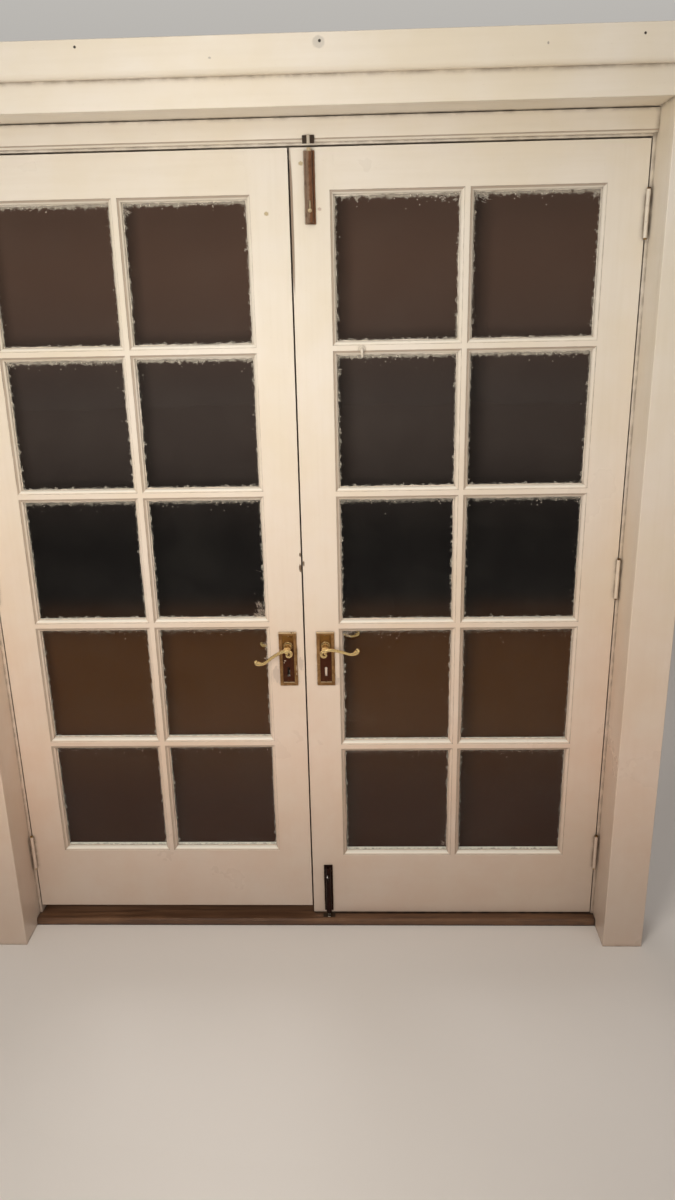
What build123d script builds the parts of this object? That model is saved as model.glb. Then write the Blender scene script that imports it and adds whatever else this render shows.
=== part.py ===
from build123d import *
import math
import os

# A pair of glazed timber doors in their frame, with the casing on the room side.
# Millimetres. X runs right as seen from the room, Y away from the room, Z up.
# The origin is on the floor, on the centre line, at the room face of the leaves.

os.makedirs("parts", exist_ok=True)

# Leaves
leaf_width = 783.0
leaf_height = 1981.0
leaf_thickness = 44.0
meeting_gap = 4.0
hinge_gap = 3.0
head_gap = 4.0
floor_gap = 4.0
stile_width = 96.0
top_rail_height = 95.0
right_bottom_rail_height = 197.0
left_bottom_rail_height = 191.0
bar_width = 30.0
pane_rows = 5
left_leaf_trim = 22.0
left_bar_drop = 6.0
tenon_thickness = 14.0
tenon_length = 60.0
tenon_shoulder = 14.0
stub_thickness = 16.0
stub_height = 8.0
stub_length = 12.0
tenon_set_back = 15.0

# Moulding, glass and beads around each pane
ovolo_width = 9.0
ovolo_radius = 8.5
quirk_depth = 1.5
glass_set_back = 13.0
rebate_width = 10.0
glass_thickness = 4.0
glass_edge_gap = 1.5
bead_depth = 12.0
bead_chamfer = 6.0

# Door frame and threshold
threshold_height = 20.0
threshold_front = 30.0
threshold_back = 150.0
threshold_nose = 4.0
threshold_fall = 8.0
frame_depth = 105.0
jamb_width = 60.0
head_height = 65.0
stop_width = 13.0
stop_gap = 2.0
fixing_radius = 4.0
fixing_depth = 75.0
fixing_lowest = 300.0
fixing_spacing = 700.0
fixing_count = 3

# Casing and reveal lining on the room side
lining_margin = 7.0
lining_thickness = 18.0
lining_depth = 95.0
casing_margin = 5.0
inner_casing_thickness = 14.0
inner_ovolo_width = 9.0
inner_ovolo_height = 6.5
inner_ovolo_quirk = 1.0
soffit_above_leaf = 59.0
soffit_crack = 2.5
casing_thickness = 20.0
casing_leg_width = 105.0
fascia_height = 57.0
cap_height = 69.0
cap_thickness = 40.0
cap_overhang = 10.0
cap_nose_radius = 10.0
arris_radius = 2.0

# Hinges
hinge_height = 100.0
hinge_flap_width = 32.0
hinge_flap_thickness = 2.5
hinge_set_out = 5.0
hinge_flap_step = 0.3
knuckle_radius = 4.8
knuckle_gap = 0.3
pin_radius = 2.5
pin_tip_radius = 3.6
pin_tip_height = 3.0
hinge_heights = [174.0, 964.0, 1804.0]

# Lever furniture
left_plate_x = -43.5
right_plate_x = 54.0
plate_width = 46.0
plate_height = 148.0
plate_bottom = 731.0
plate_thickness = 4.0
plate_rim = 4.0
plate_sunk = 2.0
plate_collar_radius = 11.5
plate_collar_height = 2.0
spindle_height = 842.0
spindle_size = 7.6
spindle_clearance = 0.1
spindle_reach = 30.0
spindle_bore_radius = 9.0
keyhole_height = 778.6
keyhole_radius = 3.8
keyhole_slot = 6.4
keyhole_drop = 22.0
boss_radius = 8.5
boss_gap = 0.3
lever_stand_off = 45.0
lever_arm_radius = 4.2
lever_tip_radius = 5.2
left_lever_droop = 21.0

# Mortice lock in the left leaf and its strike in the right one
lock_depth = 60.0
lock_thickness = 14.0
lock_bottom = 752.0
lock_top = 868.0
lock_wall = 1.2
lock_gap = 0.3
faceplate_thickness = 3.0
faceplate_width = 22.0
faceplate_bottom = 735.0
faceplate_top = 885.0
latch_rise = 10.0
latch_height = 16.0
latch_thickness = 11.0
latch_length = 22.0
latch_tail_length = 32.0
latch_tail_height = 6.0
latch_tail_thickness = 5.0
dead_bolt_height = 16.0
dead_bolt_length = 24.0
dead_bolt_middle = 772.0
bolt_gap = 0.3
follower_radius = 7.0
finger_width = 5.0
finger_radius = 15.0
finger_gap = 1.3
strike_thickness = 2.0
strike_pocket = 14.0
strike_bottom = 750.0
strike_top = 872.0

# Barrel bolts on the right leaf
bolt_x = 45.5
bolt_length = 149.0
bolt_plate_width = 24.0
bolt_plate_thickness = 2.0
bolt_axis_depth = 10.0
barrel_radius = 6.8
barrel_end = 3.0
rod_radius = 4.5
rod_clearance = 0.1
rod_stick_out = 5.0
rod_inset = 8.0
bolt_edge_gap = 7.0
bolt_travel = 18.0
knob_from_end = 27.0
knob_neck_radius = 2.3
knob_slot_gap = 0.4
knob_stand_off = 0.7
knob_radius = 4.5
keeper_width = 26.0
keeper_height = 16.0
keeper_thickness = 2.0
keeper_rise = 5.0
keeper_clearance = 0.7
notch_clearance = 1.5
socket_width = 34.0
socket_depth = 18.0
socket_mortise = 14.0
socket_floor = 4.0

# Screws and the small hook
screw_head_radius = 3.6
screw_shank_radius = 1.8
screw_head_height = 1.8
screw_length = 20.0
small_head_radius = 2.3
small_shank_radius = 1.2
small_head_height = 1.1
small_length = 12.0
screw_gap = 0.05
hook_x = 157.0
hook_below_middle = 2.5
hook_plate_radius = 7.0
hook_plate_thickness = 3.0
hook_wire_radius = 3.0
hook_reach = 10.0
hook_shank_drop = 8.0
hook_point_length = 10.0
hook_point_radius = 1.4

# Places that follow from the sizes above
right_bottom = threshold_height + floor_gap
leaf_top = right_bottom + leaf_height
left_bottom = right_bottom + left_leaf_trim
meeting_x = meeting_gap / 2
hinge_edge_x = meeting_x + leaf_width
jamb_x = hinge_edge_x + hinge_gap
stop_x = jamb_x - stop_width
stop_y = leaf_thickness + stop_gap
frame_outer_x = jamb_x + jamb_width
head_z = leaf_top + head_gap
frame_top = head_z + head_height
lining_x = jamb_x + lining_margin
casing_edge_x = lining_x + casing_leg_width
soffit_z = leaf_top + soffit_above_leaf
casing_front = lining_depth + casing_thickness
pivot_x = hinge_edge_x + hinge_gap / 2
lock_mid_y = leaf_thickness / 2
pane_width = (leaf_width - 2 * stile_width - bar_width) / 2
bar_space = (pane_rows - 1) * bar_width
right_rails = top_rail_height + right_bottom_rail_height
left_rails = top_rail_height + left_bar_drop + left_bottom_rail_height
right_pane_height = (leaf_height - right_rails - bar_space) / pane_rows
left_pane_height = (leaf_height - left_leaf_trim - left_rails - bar_space) / pane_rows


def block(x0, x1, y0, y1, z0, z1, mode=Mode.ADD):
    """A rectangular block given by two opposite corners."""
    with Locations(((x0 + x1) / 2, (y0 + y1) / 2, (z0 + z1) / 2)):
        return Box(abs(x1 - x0), abs(y1 - y0), abs(z1 - z0), mode=mode)


def finish(piece, name):
    """Name a finished piece and write it."""
    piece.label = name
    export_step(piece, "parts/" + name + ".step")


def screw(place, head, shank, head_height, length, grow=0.0):
    """A countersunk screw driven along the place's own Z, its head flush with the surface."""
    low = (Align.CENTER, Align.CENTER, Align.MIN)
    with BuildPart(place) as body:
        Cone(head + grow, shank + grow, head_height + grow, align=low)
        Cylinder(shank + grow, length + grow, align=low)
    return body.part


def wood_screw(place, grow=0.0):
    return screw(place, screw_head_radius, screw_shank_radius, screw_head_height, screw_length, grow)


def small_screw(place, grow=0.0):
    return screw(place, small_head_radius, small_shank_radius, small_head_height, small_length, grow)


def cut_screws(places, kind):
    """Cut countersunk holes for a set of screws from the part being made."""
    for place in places:
        add(kind(place, screw_gap), mode=Mode.SUBTRACT)


def screw_group(name, groups):
    """Write all the screws that one body carries as separate solids of one node."""
    with BuildPart() as screws:
        for places, kind in groups:
            for place in places:
                add(kind(place))
    finish(screws.part, name)


def hinge_screw_places(side, on_jamb):
    """Three screws for each hinge flap, driven away from the gap."""
    edge = jamb_x if on_jamb else hinge_edge_x
    into = side if on_jamb else -side
    third = hinge_height / 3
    return [
        Plane(origin=(side * edge, hinge_flap_width * 0.6, low + third * (step + 0.5)), z_dir=(into, 0, 0))
        for low in hinge_heights
        for step in range(3)
    ]


def plate_screw_places(plate_x, outside):
    """Top and bottom screws of a lever plate."""
    face_y = leaf_thickness + plate_sunk if outside else -plate_sunk
    into = -1 if outside else 1
    inset = plate_rim + screw_head_radius + 1
    heights = [plate_bottom + inset, plate_bottom + plate_height - inset]
    return [Plane(origin=(plate_x, face_y, z), z_dir=(0, into, 0)) for z in heights]


def bolt_screw_places(low):
    """Four small screws through the flanges of a barrel bolt."""
    across = (bolt_plate_width / 2 + barrel_radius) / 2
    return [
        Plane(origin=(bolt_x + way * across, -bolt_plate_thickness, low + up), z_dir=(0, 1, 0))
        for way in (-1, 1)
        for up in (bolt_length * 0.12, bolt_length * 0.88)
    ]


faceplate_screw_places = [
    Plane(origin=(-meeting_x, lock_mid_y, z), z_dir=(-1, 0, 0))
    for z in (faceplate_bottom + 8, faceplate_top - 8)
]
strike_screw_places = [
    Plane(origin=(meeting_x, lock_mid_y, z), z_dir=(1, 0, 0))
    for z in (strike_bottom + 6, strike_top - 6)
]
keeper_low = leaf_top + keeper_rise
keeper_screw_places = [
    Plane(
        origin=(
            bolt_x + way * (keeper_width / 2 - 3),
            -inner_casing_thickness - keeper_thickness,
            keeper_low + keeper_height - 4,
        ),
        z_dir=(0, 1, 0),
    )
    for way in (-1, 1)
]
knob_centre_depth = bolt_axis_depth + barrel_radius + knob_radius + knob_stand_off
top_bolt_low = leaf_top - bolt_edge_gap - bolt_length
bottom_bolt_low = right_bottom + bolt_edge_gap


# Door frame: threshold, two rebated jambs and a rebated head.
with BuildPart() as threshold:
    with BuildSketch(Plane.YZ.offset(-frame_outer_x)):
        with BuildLine():
            Polyline(
                (-threshold_front, 0),
                (-threshold_front, threshold_height - threshold_nose),
                (-threshold_front + threshold_nose, threshold_height),
                (frame_depth, threshold_height),
                (threshold_back, threshold_height - threshold_fall),
                (threshold_back, 0),
                close=True,
            )
        make_face()
    extrude(amount=2 * frame_outer_x)
    for side in (-1, 1):
        block(side * lining_x, side * frame_outer_x, -threshold_front, 0, 0, threshold_height, Mode.SUBTRACT)
    socket_low_y = -bolt_axis_depth - socket_depth / 2
    socket_high_y = -bolt_axis_depth + socket_depth / 2
    plate_floor = threshold_height - bolt_plate_thickness
    block(
        bolt_x - socket_width / 2,
        bolt_x + socket_width / 2,
        socket_low_y,
        socket_high_y,
        plate_floor,
        threshold_height,
        Mode.SUBTRACT,
    )
    block(
        bolt_x - socket_mortise / 2,
        bolt_x + socket_mortise / 2,
        -bolt_axis_depth - socket_mortise / 2,
        -bolt_axis_depth + socket_mortise / 2,
        socket_floor,
        plate_floor,
        Mode.SUBTRACT,
    )
finish(threshold.part, "threshold")

for side, jamb_name in ((-1, "frame_jamb_left"), (1, "frame_jamb_right")):
    with BuildPart() as jamb:
        block(side * jamb_x, side * frame_outer_x, 0, frame_depth, threshold_height, head_z)
        block(side * stop_x, side * jamb_x, stop_y, frame_depth, threshold_height, head_z)
        for low in hinge_heights:
            block(
                side * jamb_x,
                side * (jamb_x + hinge_flap_thickness),
                0,
                hinge_flap_width,
                low,
                low + hinge_height,
                Mode.SUBTRACT,
            )
        for step in range(fixing_count):
            fixing_z = fixing_lowest + step * fixing_spacing
            with BuildSketch(Plane(origin=(side * stop_x, fixing_depth, fixing_z), z_dir=(side, 0, 0))):
                Circle(fixing_radius)
            extrude(amount=jamb_width + stop_width, mode=Mode.SUBTRACT)
        cut_screws(hinge_screw_places(side, True), wood_screw)
    finish(jamb.part, jamb_name)

with BuildPart() as frame_head:
    block(-frame_outer_x, frame_outer_x, 0, frame_depth, head_z, frame_top)
    block(-stop_x, stop_x, stop_y, frame_depth, head_z - stop_width, head_z)
finish(frame_head.part, "frame_head")

# Inner casing over the leaves, moulded along its lower edge and notched for the bolt.
inner_low = head_z + casing_margin
inner_high = soffit_z - soffit_crack
inner_front = -inner_casing_thickness
with BuildPart() as inner_casing:
    with BuildSketch(Plane.YZ.offset(-lining_x)):
        with BuildLine():
            round_back = inner_front + inner_ovolo_width
            round_front = inner_front + inner_ovolo_quirk
            round_top = inner_low + inner_ovolo_height
            Line((0, inner_low), (round_back, inner_low))
            EllipticalCenterArc(
                (round_back, round_top),
                round_back - round_front,
                inner_ovolo_height,
                start_angle=180,
                arc_size=90,
            )
            Polyline(
                (round_front, round_top),
                (inner_front, round_top),
                (inner_front, inner_high),
                (0, inner_high),
                (0, inner_low),
            )
        make_face()
    extrude(amount=2 * lining_x)
    notch = rod_radius + notch_clearance
    block(
        bolt_x - notch,
        bolt_x + notch,
        inner_front,
        -bolt_axis_depth + notch,
        inner_low - 1,
        keeper_low + keeper_height,
        Mode.SUBTRACT,
    )
    cut_screws(keeper_screw_places, small_screw)
finish(inner_casing.part, "inner_casing_head")

# Reveal lining: two side boards and a soffit board between the frame and the casing.
for side, lining_name in ((-1, "reveal_lining_left"), (1, "reveal_lining_right")):
    with BuildPart() as lining:
        block(side * lining_x, side * (lining_x + lining_thickness), -lining_depth, 0, 0, soffit_z)
    finish(lining.part, lining_name)

with BuildPart() as soffit:
    soffit_half = lining_x + lining_thickness
    block(-soffit_half, soffit_half, -lining_depth, 0, soffit_z, soffit_z + lining_thickness)
finish(soffit.part, "reveal_lining_head")

# Room-side casing: two flat legs, a flat fascia over them and a thick nosed cap board.
for side, leg_name in ((-1, "casing_leg_left"), (1, "casing_leg_right")):
    with BuildPart() as leg:
        block(side * lining_x, side * casing_edge_x, -casing_front, -lining_depth, 0, soffit_z)
        fillet(leg.edges().filter_by(Axis.Z).group_by(Axis.Y)[0], arris_radius)
    finish(leg.part, leg_name)

fascia_top = soffit_z + fascia_height
with BuildPart() as fascia:
    block(-casing_edge_x, casing_edge_x, -casing_front, -lining_depth, soffit_z, fascia_top)
    fillet(fascia.edges().filter_by(Axis.X).group_by(Axis.Y)[0].sort_by(Axis.Z)[0], arris_radius)
finish(fascia.part, "casing_fascia")

cap_half = casing_edge_x + cap_overhang
with BuildPart() as cap:
    cap_front = -lining_depth - cap_thickness
    block(-cap_half, cap_half, cap_front, -lining_depth, fascia_top, fascia_top + cap_height)
    front_edges = cap.edges().filter_by(Axis.X).group_by(Axis.Y)[0].sort_by(Axis.Z)
    fillet(front_edges[0], cap_nose_radius)
    fillet(cap.edges().filter_by(Axis.X).group_by(Axis.Y)[0].sort_by(Axis.Z)[-1], arris_radius)
finish(cap.part, "casing_cap")


# The openings in one leaf, each as lowest X, highest X, lowest Z and highest Z.
def pane_openings(side, drop, pane_height):
    openings = []
    for column in range(2):
        near = meeting_x + stile_width + column * (pane_width + bar_width)
        across = sorted((side * near, side * (near + pane_width)))
        for row in range(pane_rows):
            top = leaf_top - top_rail_height - drop - row * (pane_height + bar_width)
            openings.append((across[0], across[1], top - pane_height, top))
    return openings


def near_opening(edge, openings):
    """Whether an edge's middle lies within or on one of the openings."""
    x, z = edge.center().X, edge.center().Z
    return any(x0 - 1 < x < x1 + 1 and z0 - 1 < z < z1 + 1 for x0, x1, z0, z1 in openings)


def opening_cutter(x0, x1, z0, z1):
    """What is cut away for one pane: the ovolo on the room side and the rebate behind."""
    with BuildPart() as cutter:
        block(x0, x1, -1, glass_set_back, z0, z1)
        reach = ovolo_width
        block(x0 - reach, x1 + reach, -1, quirk_depth, z0 - reach, z1 + reach)
        at_quirk = cutter.edges().filter_by_position(Axis.Y, quirk_depth - 0.01, quirk_depth + 0.01)
        sight = [edge for edge in at_quirk if near_opening(edge, [(x0, x1, z0, z1)])]
        fillet(sight, ovolo_radius)
        reach = rebate_width
        block(x0 - reach, x1 + reach, glass_set_back, leaf_thickness + 1, z0 - reach, z1 + reach)
    return cutter.part


def make_leaf(side, low, drop, pane_height, prefix, meeting_cuts):
    """Write the timber, glass and beads of one leaf.

    meeting_cuts are the parts cut from its meeting stile for the lock, levers and bolts.
    """
    openings = pane_openings(side, drop, pane_height)
    cutters = [opening_cutter(*opening) for opening in openings]
    inner = meeting_x + stile_width
    outer = hinge_edge_x - stile_width
    bar_near = inner + pane_width
    bar_far = bar_near + bar_width
    top_low = leaf_top - top_rail_height - drop
    bottom_high = top_low - pane_rows * pane_height - bar_space

    tenon_back = tenon_set_back + tenon_thickness
    stub_back = tenon_set_back + stub_thickness
    top_tenon = (tenon_set_back, tenon_back, top_low + tenon_shoulder, leaf_top - tenon_shoulder)
    bottom_tenon = (tenon_set_back, tenon_back, low + tenon_shoulder, bottom_high - tenon_shoulder)
    bar_levels = [
        top_low - (row + 1) * pane_height - row * bar_width - bar_width / 2 for row in range(pane_rows - 1)
    ]
    bar_tenons = [
        (tenon_set_back, stub_back, level - stub_height / 2, level + stub_height / 2) for level in bar_levels
    ]

    with BuildPart() as hanging_stile:
        block(side * outer, side * hinge_edge_x, 0, leaf_thickness, low, leaf_top)
        for cutter in cutters[pane_rows:]:
            add(cutter, mode=Mode.SUBTRACT)
        for tenon in (top_tenon, bottom_tenon):
            block(side * outer, side * (outer + tenon_length), *tenon, Mode.SUBTRACT)
        for tenon in bar_tenons:
            block(side * outer, side * (outer + stub_length), *tenon, Mode.SUBTRACT)
        for hinge_low in hinge_heights:
            block(
                side * (hinge_edge_x - hinge_flap_thickness),
                side * hinge_edge_x,
                0,
                hinge_flap_width,
                hinge_low,
                hinge_low + hinge_height,
                Mode.SUBTRACT,
            )
        cut_screws(hinge_screw_places(side, False), wood_screw)
    finish(hanging_stile.part, prefix + "_hanging_stile")

    with BuildPart() as meeting_stile:
        block(side * meeting_x, side * inner, 0, leaf_thickness, low, leaf_top)
        for cutter in cutters[:pane_rows]:
            add(cutter, mode=Mode.SUBTRACT)
        for tenon in (top_tenon, bottom_tenon):
            block(side * (inner - tenon_length), side * inner, *tenon, Mode.SUBTRACT)
        for tenon in bar_tenons:
            block(side * (inner - stub_length), side * inner, *tenon, Mode.SUBTRACT)
        for cut in meeting_cuts:
            add(cut, mode=Mode.SUBTRACT)
    finish(meeting_stile.part, prefix + "_meeting_stile")

    bar_middle = side * (bar_near + bar_far) / 2
    stub_sides = (bar_middle - stub_height / 2, bar_middle + stub_height / 2, tenon_set_back, stub_back)
    top_stub = (*stub_sides, top_low, top_low + stub_length)
    bottom_stub = (*stub_sides, bottom_high - stub_length, bottom_high)

    with BuildPart() as top_rail:
        block(side * inner, side * outer, 0, leaf_thickness, top_low, leaf_top)
        block(side * (inner - tenon_length), side * inner, *top_tenon)
        block(side * outer, side * (outer + tenon_length), *top_tenon)
        for cutter in (cutters[0], cutters[pane_rows]):
            add(cutter, mode=Mode.SUBTRACT)
        block(*top_stub, Mode.SUBTRACT)
    finish(top_rail.part, prefix + "_top_rail")

    with BuildPart() as bottom_rail:
        block(side * inner, side * outer, 0, leaf_thickness, low, bottom_high)
        block(side * (inner - tenon_length), side * inner, *bottom_tenon)
        block(side * outer, side * (outer + tenon_length), *bottom_tenon)
        for cutter in (cutters[pane_rows - 1], cutters[-1]):
            add(cutter, mode=Mode.SUBTRACT)
        block(*bottom_stub, Mode.SUBTRACT)
    finish(bottom_rail.part, prefix + "_bottom_rail")

    with BuildPart() as vertical_bar:
        block(side * bar_near, side * bar_far, 0, leaf_thickness, bottom_high, top_low)
        block(*top_stub)
        block(*bottom_stub)
        for cutter in cutters:
            add(cutter, mode=Mode.SUBTRACT)
        for tenon in bar_tenons:
            block(side * bar_near, side * (bar_near + stub_length), *tenon, Mode.SUBTRACT)
            block(side * (bar_far - stub_length), side * bar_far, *tenon, Mode.SUBTRACT)
    finish(vertical_bar.part, prefix + "_vertical_bar")

    with BuildPart() as cross_bars:
        for column, (near, far) in enumerate(((inner, bar_near), (bar_far, outer))):
            for row, (level, tenon) in enumerate(zip(bar_levels, bar_tenons)):
                half = bar_width / 2
                block(side * near, side * far, 0, leaf_thickness, level - half, level + half)
                above = cutters[column * pane_rows + row]
                below = cutters[column * pane_rows + row + 1]
                add([above, below], mode=Mode.SUBTRACT)
                block(side * (near - stub_length), side * near, *tenon)
                block(side * far, side * (far + stub_length), *tenon)
    finish(cross_bars.part, prefix + "_cross_bars")

    glass_back = glass_set_back + glass_thickness
    with BuildPart() as panes:
        for x0, x1, z0, z1 in openings:
            reach = rebate_width - glass_edge_gap
            block(x0 - reach, x1 + reach, glass_set_back, glass_back, z0 - reach, z1 + reach)
    finish(panes.part, prefix + "_panes")

    with BuildPart() as beads:
        for x0, x1, z0, z1 in openings:
            centre = ((x0 + x1) / 2, glass_back, (z0 + z1) / 2)
            with BuildSketch(Plane(origin=centre, x_dir=(1, 0, 0), z_dir=(0, -1, 0))):
                Rectangle(x1 - x0 + 2 * rebate_width, z1 - z0 + 2 * rebate_width)
                Rectangle(x1 - x0, z1 - z0, mode=Mode.SUBTRACT)
            extrude(amount=-bead_depth)
        bead_back = glass_back + bead_depth
        at_back = beads.edges().filter_by_position(Axis.Y, bead_back - 0.01, bead_back + 0.01)
        longest = max(pane_width, pane_height) + 1
        inner_edges = [edge for edge in at_back if edge.length < longest and near_opening(edge, openings)]
        chamfer(inner_edges, bead_chamfer)
    finish(beads.part, prefix + "_glazing_beads")


def bore_along_y(x, z, radius, y0, y1):
    with BuildPart() as bore:
        with BuildSketch(Plane(origin=(x, y0, z), x_dir=(1, 0, 0), z_dir=(0, 1, 0))):
            Circle(radius)
        extrude(amount=y1 - y0)
    return bore.part


def keyhole(x, y0, y1, grow=0.0):
    """A keyhole cut along Y: a round eye with a straight slot under it."""
    with BuildPart() as hole:
        add(bore_along_y(x, keyhole_height, keyhole_radius + grow, y0, y1))
        half = keyhole_slot / 2 + grow
        block(x - half, x + half, y0, y1, keyhole_height - keyhole_drop - grow, keyhole_height)
    return hole.part


def plain_block(x0, x1, y0, y1, z0, z1):
    with BuildPart() as piece:
        block(x0, x1, y0, y1, z0, z1)
    return piece.part


def spindle_bar(plate_x, turn, size, y0, y1):
    """A square bar through both levers, turned with them."""
    with BuildPart() as bar:
        with Locations(Location((plate_x, (y0 + y1) / 2, spindle_height), (0, turn, 0))):
            Box(size, y1 - y0, size)
    return bar.part


# Where the lock's moving pieces lie.
socket_size = spindle_size + 2 * spindle_clearance
latch_middle = spindle_height + latch_rise
lock_front = -meeting_x - faceplate_thickness
lock_low_y = lock_mid_y - lock_thickness / 2
lock_high_y = lock_mid_y + lock_thickness / 2
bolt_low_y = lock_mid_y - latch_thickness / 2
bolt_high_y = lock_mid_y + latch_thickness / 2


def bolt_hole(x0, x1, middle, height):
    """The hole that a latch or dead bolt passes through."""
    half = height / 2 + bolt_gap
    return plain_block(x0, x1, bolt_low_y - bolt_gap, bolt_high_y + bolt_gap, middle - half, middle + half)


left_stile_cuts = [
    bore_along_y(left_plate_x, spindle_height, spindle_bore_radius, -1, leaf_thickness + 1),
    keyhole(left_plate_x, -1, leaf_thickness + 1, 1.0),
    plain_block(
        lock_front - lock_depth - lock_gap,
        lock_front,
        lock_low_y - lock_gap,
        lock_high_y + lock_gap,
        lock_bottom - lock_gap,
        lock_top + lock_gap,
    ),
    plain_block(
        lock_front,
        -meeting_x,
        lock_mid_y - faceplate_width / 2,
        lock_mid_y + faceplate_width / 2,
        faceplate_bottom,
        faceplate_top,
    ),
]
right_stile_cuts = [
    bore_along_y(right_plate_x, spindle_height, spindle_bore_radius, -1, leaf_thickness + 1),
    plain_block(
        meeting_x,
        meeting_x + strike_thickness,
        lock_mid_y - faceplate_width / 2,
        lock_mid_y + faceplate_width / 2,
        strike_bottom,
        strike_top,
    ),
    bolt_hole(meeting_x, meeting_x + strike_pocket, latch_middle, latch_height),
    bolt_hole(meeting_x, meeting_x + strike_pocket, dead_bolt_middle, dead_bolt_height),
]
for outside in (False, True):
    left_stile_cuts += [wood_screw(place, screw_gap) for place in plate_screw_places(left_plate_x, outside)]
    right_stile_cuts += [wood_screw(place, screw_gap) for place in plate_screw_places(right_plate_x, outside)]
left_stile_cuts += [small_screw(place, screw_gap) for place in faceplate_screw_places]
right_stile_cuts += [small_screw(place, screw_gap) for place in strike_screw_places]
for low in (top_bolt_low, bottom_bolt_low):
    right_stile_cuts += [small_screw(place, screw_gap) for place in bolt_screw_places(low)]

make_leaf(-1, left_bottom, left_bar_drop, left_pane_height, "left", left_stile_cuts)
make_leaf(1, right_bottom, 0.0, right_pane_height, "right", right_stile_cuts)

# Butt hinges: a flap let into each jamb, a flap let into each leaf, and a loose pin.
def hinge_knuckle(side, low, high):
    with BuildPart() as knuckle:
        with BuildSketch(Plane.XY.offset(low)):
            with Locations((side * pivot_x, -hinge_set_out)):
                Circle(knuckle_radius)
        extrude(amount=high - low)
    return knuckle.part


def hinge_flaps(side, on_jamb, name):
    near = jamb_x if on_jamb else hinge_edge_x - hinge_flap_thickness
    far = near + hinge_flap_thickness
    third = hinge_height / 3
    with BuildPart() as flaps:
        for low in hinge_heights:
            high = low + hinge_height
            if on_jamb:
                knuckles = [(low, low + third - knuckle_gap / 2), (high - third + knuckle_gap / 2, high)]
            else:
                knuckles = [(low + third + knuckle_gap / 2, high - third - knuckle_gap / 2)]
            block(side * near, side * far, hinge_flap_step, hinge_flap_width, low, high)
            for knuckle_low, knuckle_high in knuckles:
                block(side * near, side * far, -hinge_set_out, hinge_flap_step, knuckle_low, knuckle_high)
                add(hinge_knuckle(side, knuckle_low, knuckle_high))
            with BuildSketch(Plane.XY.offset(low)):
                with Locations((side * pivot_x, -hinge_set_out)):
                    Circle(pin_radius + screw_gap)
            extrude(amount=hinge_height, mode=Mode.SUBTRACT)
        cut_screws(hinge_screw_places(side, on_jamb), wood_screw)
    finish(flaps.part, name)


hinge_flaps(-1, False, "left_leaf_hinge_flaps")
hinge_flaps(1, False, "right_leaf_hinge_flaps")
hinge_flaps(-1, True, "left_jamb_hinge_flaps")
hinge_flaps(1, True, "right_jamb_hinge_flaps")

with BuildPart() as hinge_pins:
    for side in (-1, 1):
        for low in hinge_heights:
            with BuildSketch(Plane.XY.offset(low)):
                with Locations((side * pivot_x, -hinge_set_out)):
                    Circle(pin_radius)
            extrude(amount=hinge_height)
            for level in (low - pin_tip_height, low + hinge_height):
                with BuildSketch(Plane.XY.offset(level)):
                    with Locations((side * pivot_x, -hinge_set_out)):
                        Circle(pin_tip_radius)
                extrude(amount=pin_tip_height)
finish(hinge_pins.part, "hinge_pins")


# Lever furniture on both faces of both leaves.
def lever_plate(plate_x, outside, name):
    surface = leaf_thickness if outside else 0.0
    out = 1 if outside else -1
    high = plate_bottom + plate_height
    front = surface + out * plate_thickness
    panel = surface + out * plate_sunk
    half = plate_width / 2
    with BuildPart() as plate:
        block(plate_x - half, plate_x + half, surface, front, plate_bottom, high)
        chamfer(plate.faces().sort_by(Axis.Y)[-1 if outside else 0].edges(), 1.0)
        block(
            plate_x - half + plate_rim,
            plate_x + half - plate_rim,
            panel,
            front,
            plate_bottom + plate_rim,
            high - plate_rim,
            Mode.SUBTRACT,
        )
        collar_front = surface + out * (plate_sunk + plate_collar_height)
        add(bore_along_y(plate_x, spindle_height, plate_collar_radius, *sorted((surface, collar_front))))
        hole_radius = boss_radius + boss_gap
        ends = sorted((surface - out, front + out))
        add(bore_along_y(plate_x, spindle_height, hole_radius, *ends), mode=Mode.SUBTRACT)
        add(keyhole(plate_x, *ends), mode=Mode.SUBTRACT)
        cut_screws(plate_screw_places(plate_x, outside), wood_screw)
    finish(plate.part, name)


def lever(side, plate_x, outside, droop, name):
    """A scroll lever: a round boss, an S-shaped arm and a rolled end."""
    surface = leaf_thickness if outside else 0.0
    out = 1 if outside else -1
    arm_y = surface + out * lever_stand_off
    turn = math.radians(droop)
    shape = [(2, -11), (-7, -8), (-3, 0), (10, 3.5), (24, 3), (44, -2), (60, -7), (71, -7), (82, -1)]
    points = [
        (
            plate_x + side * (along * math.cos(turn) + rise * math.sin(turn)),
            arm_y,
            spindle_height + rise * math.cos(turn) - along * math.sin(turn),
        )
        for along, rise in shape
    ]
    with BuildPart() as handle:
        start = surface + out * boss_gap
        add(bore_along_y(plate_x, spindle_height, boss_radius, *sorted((start, arm_y))))
        with Locations((plate_x, arm_y, spindle_height)):
            Sphere(boss_radius)
        with BuildLine() as path:
            Spline(*points)
        with BuildSketch(Plane(origin=path.line @ 0, z_dir=path.line % 0)):
            Circle(lever_arm_radius)
        sweep(path=path.line)
        with Locations(points[0], points[-1]):
            Sphere(lever_tip_radius)
        socket = sorted((start - out, surface + out * (spindle_reach + 1)))
        add(spindle_bar(plate_x, side * droop, socket_size, *socket), mode=Mode.SUBTRACT)
    finish(handle.part, name)


for outside, face in ((False, "inner"), (True, "outer")):
    lever_plate(left_plate_x, outside, "left_" + face + "_plate")
    lever_plate(right_plate_x, outside, "right_" + face + "_plate")
    lever(-1, left_plate_x, outside, left_lever_droop, "left_" + face + "_lever")
    lever(1, right_plate_x, outside, 0.0, "right_" + face + "_lever")

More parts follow.
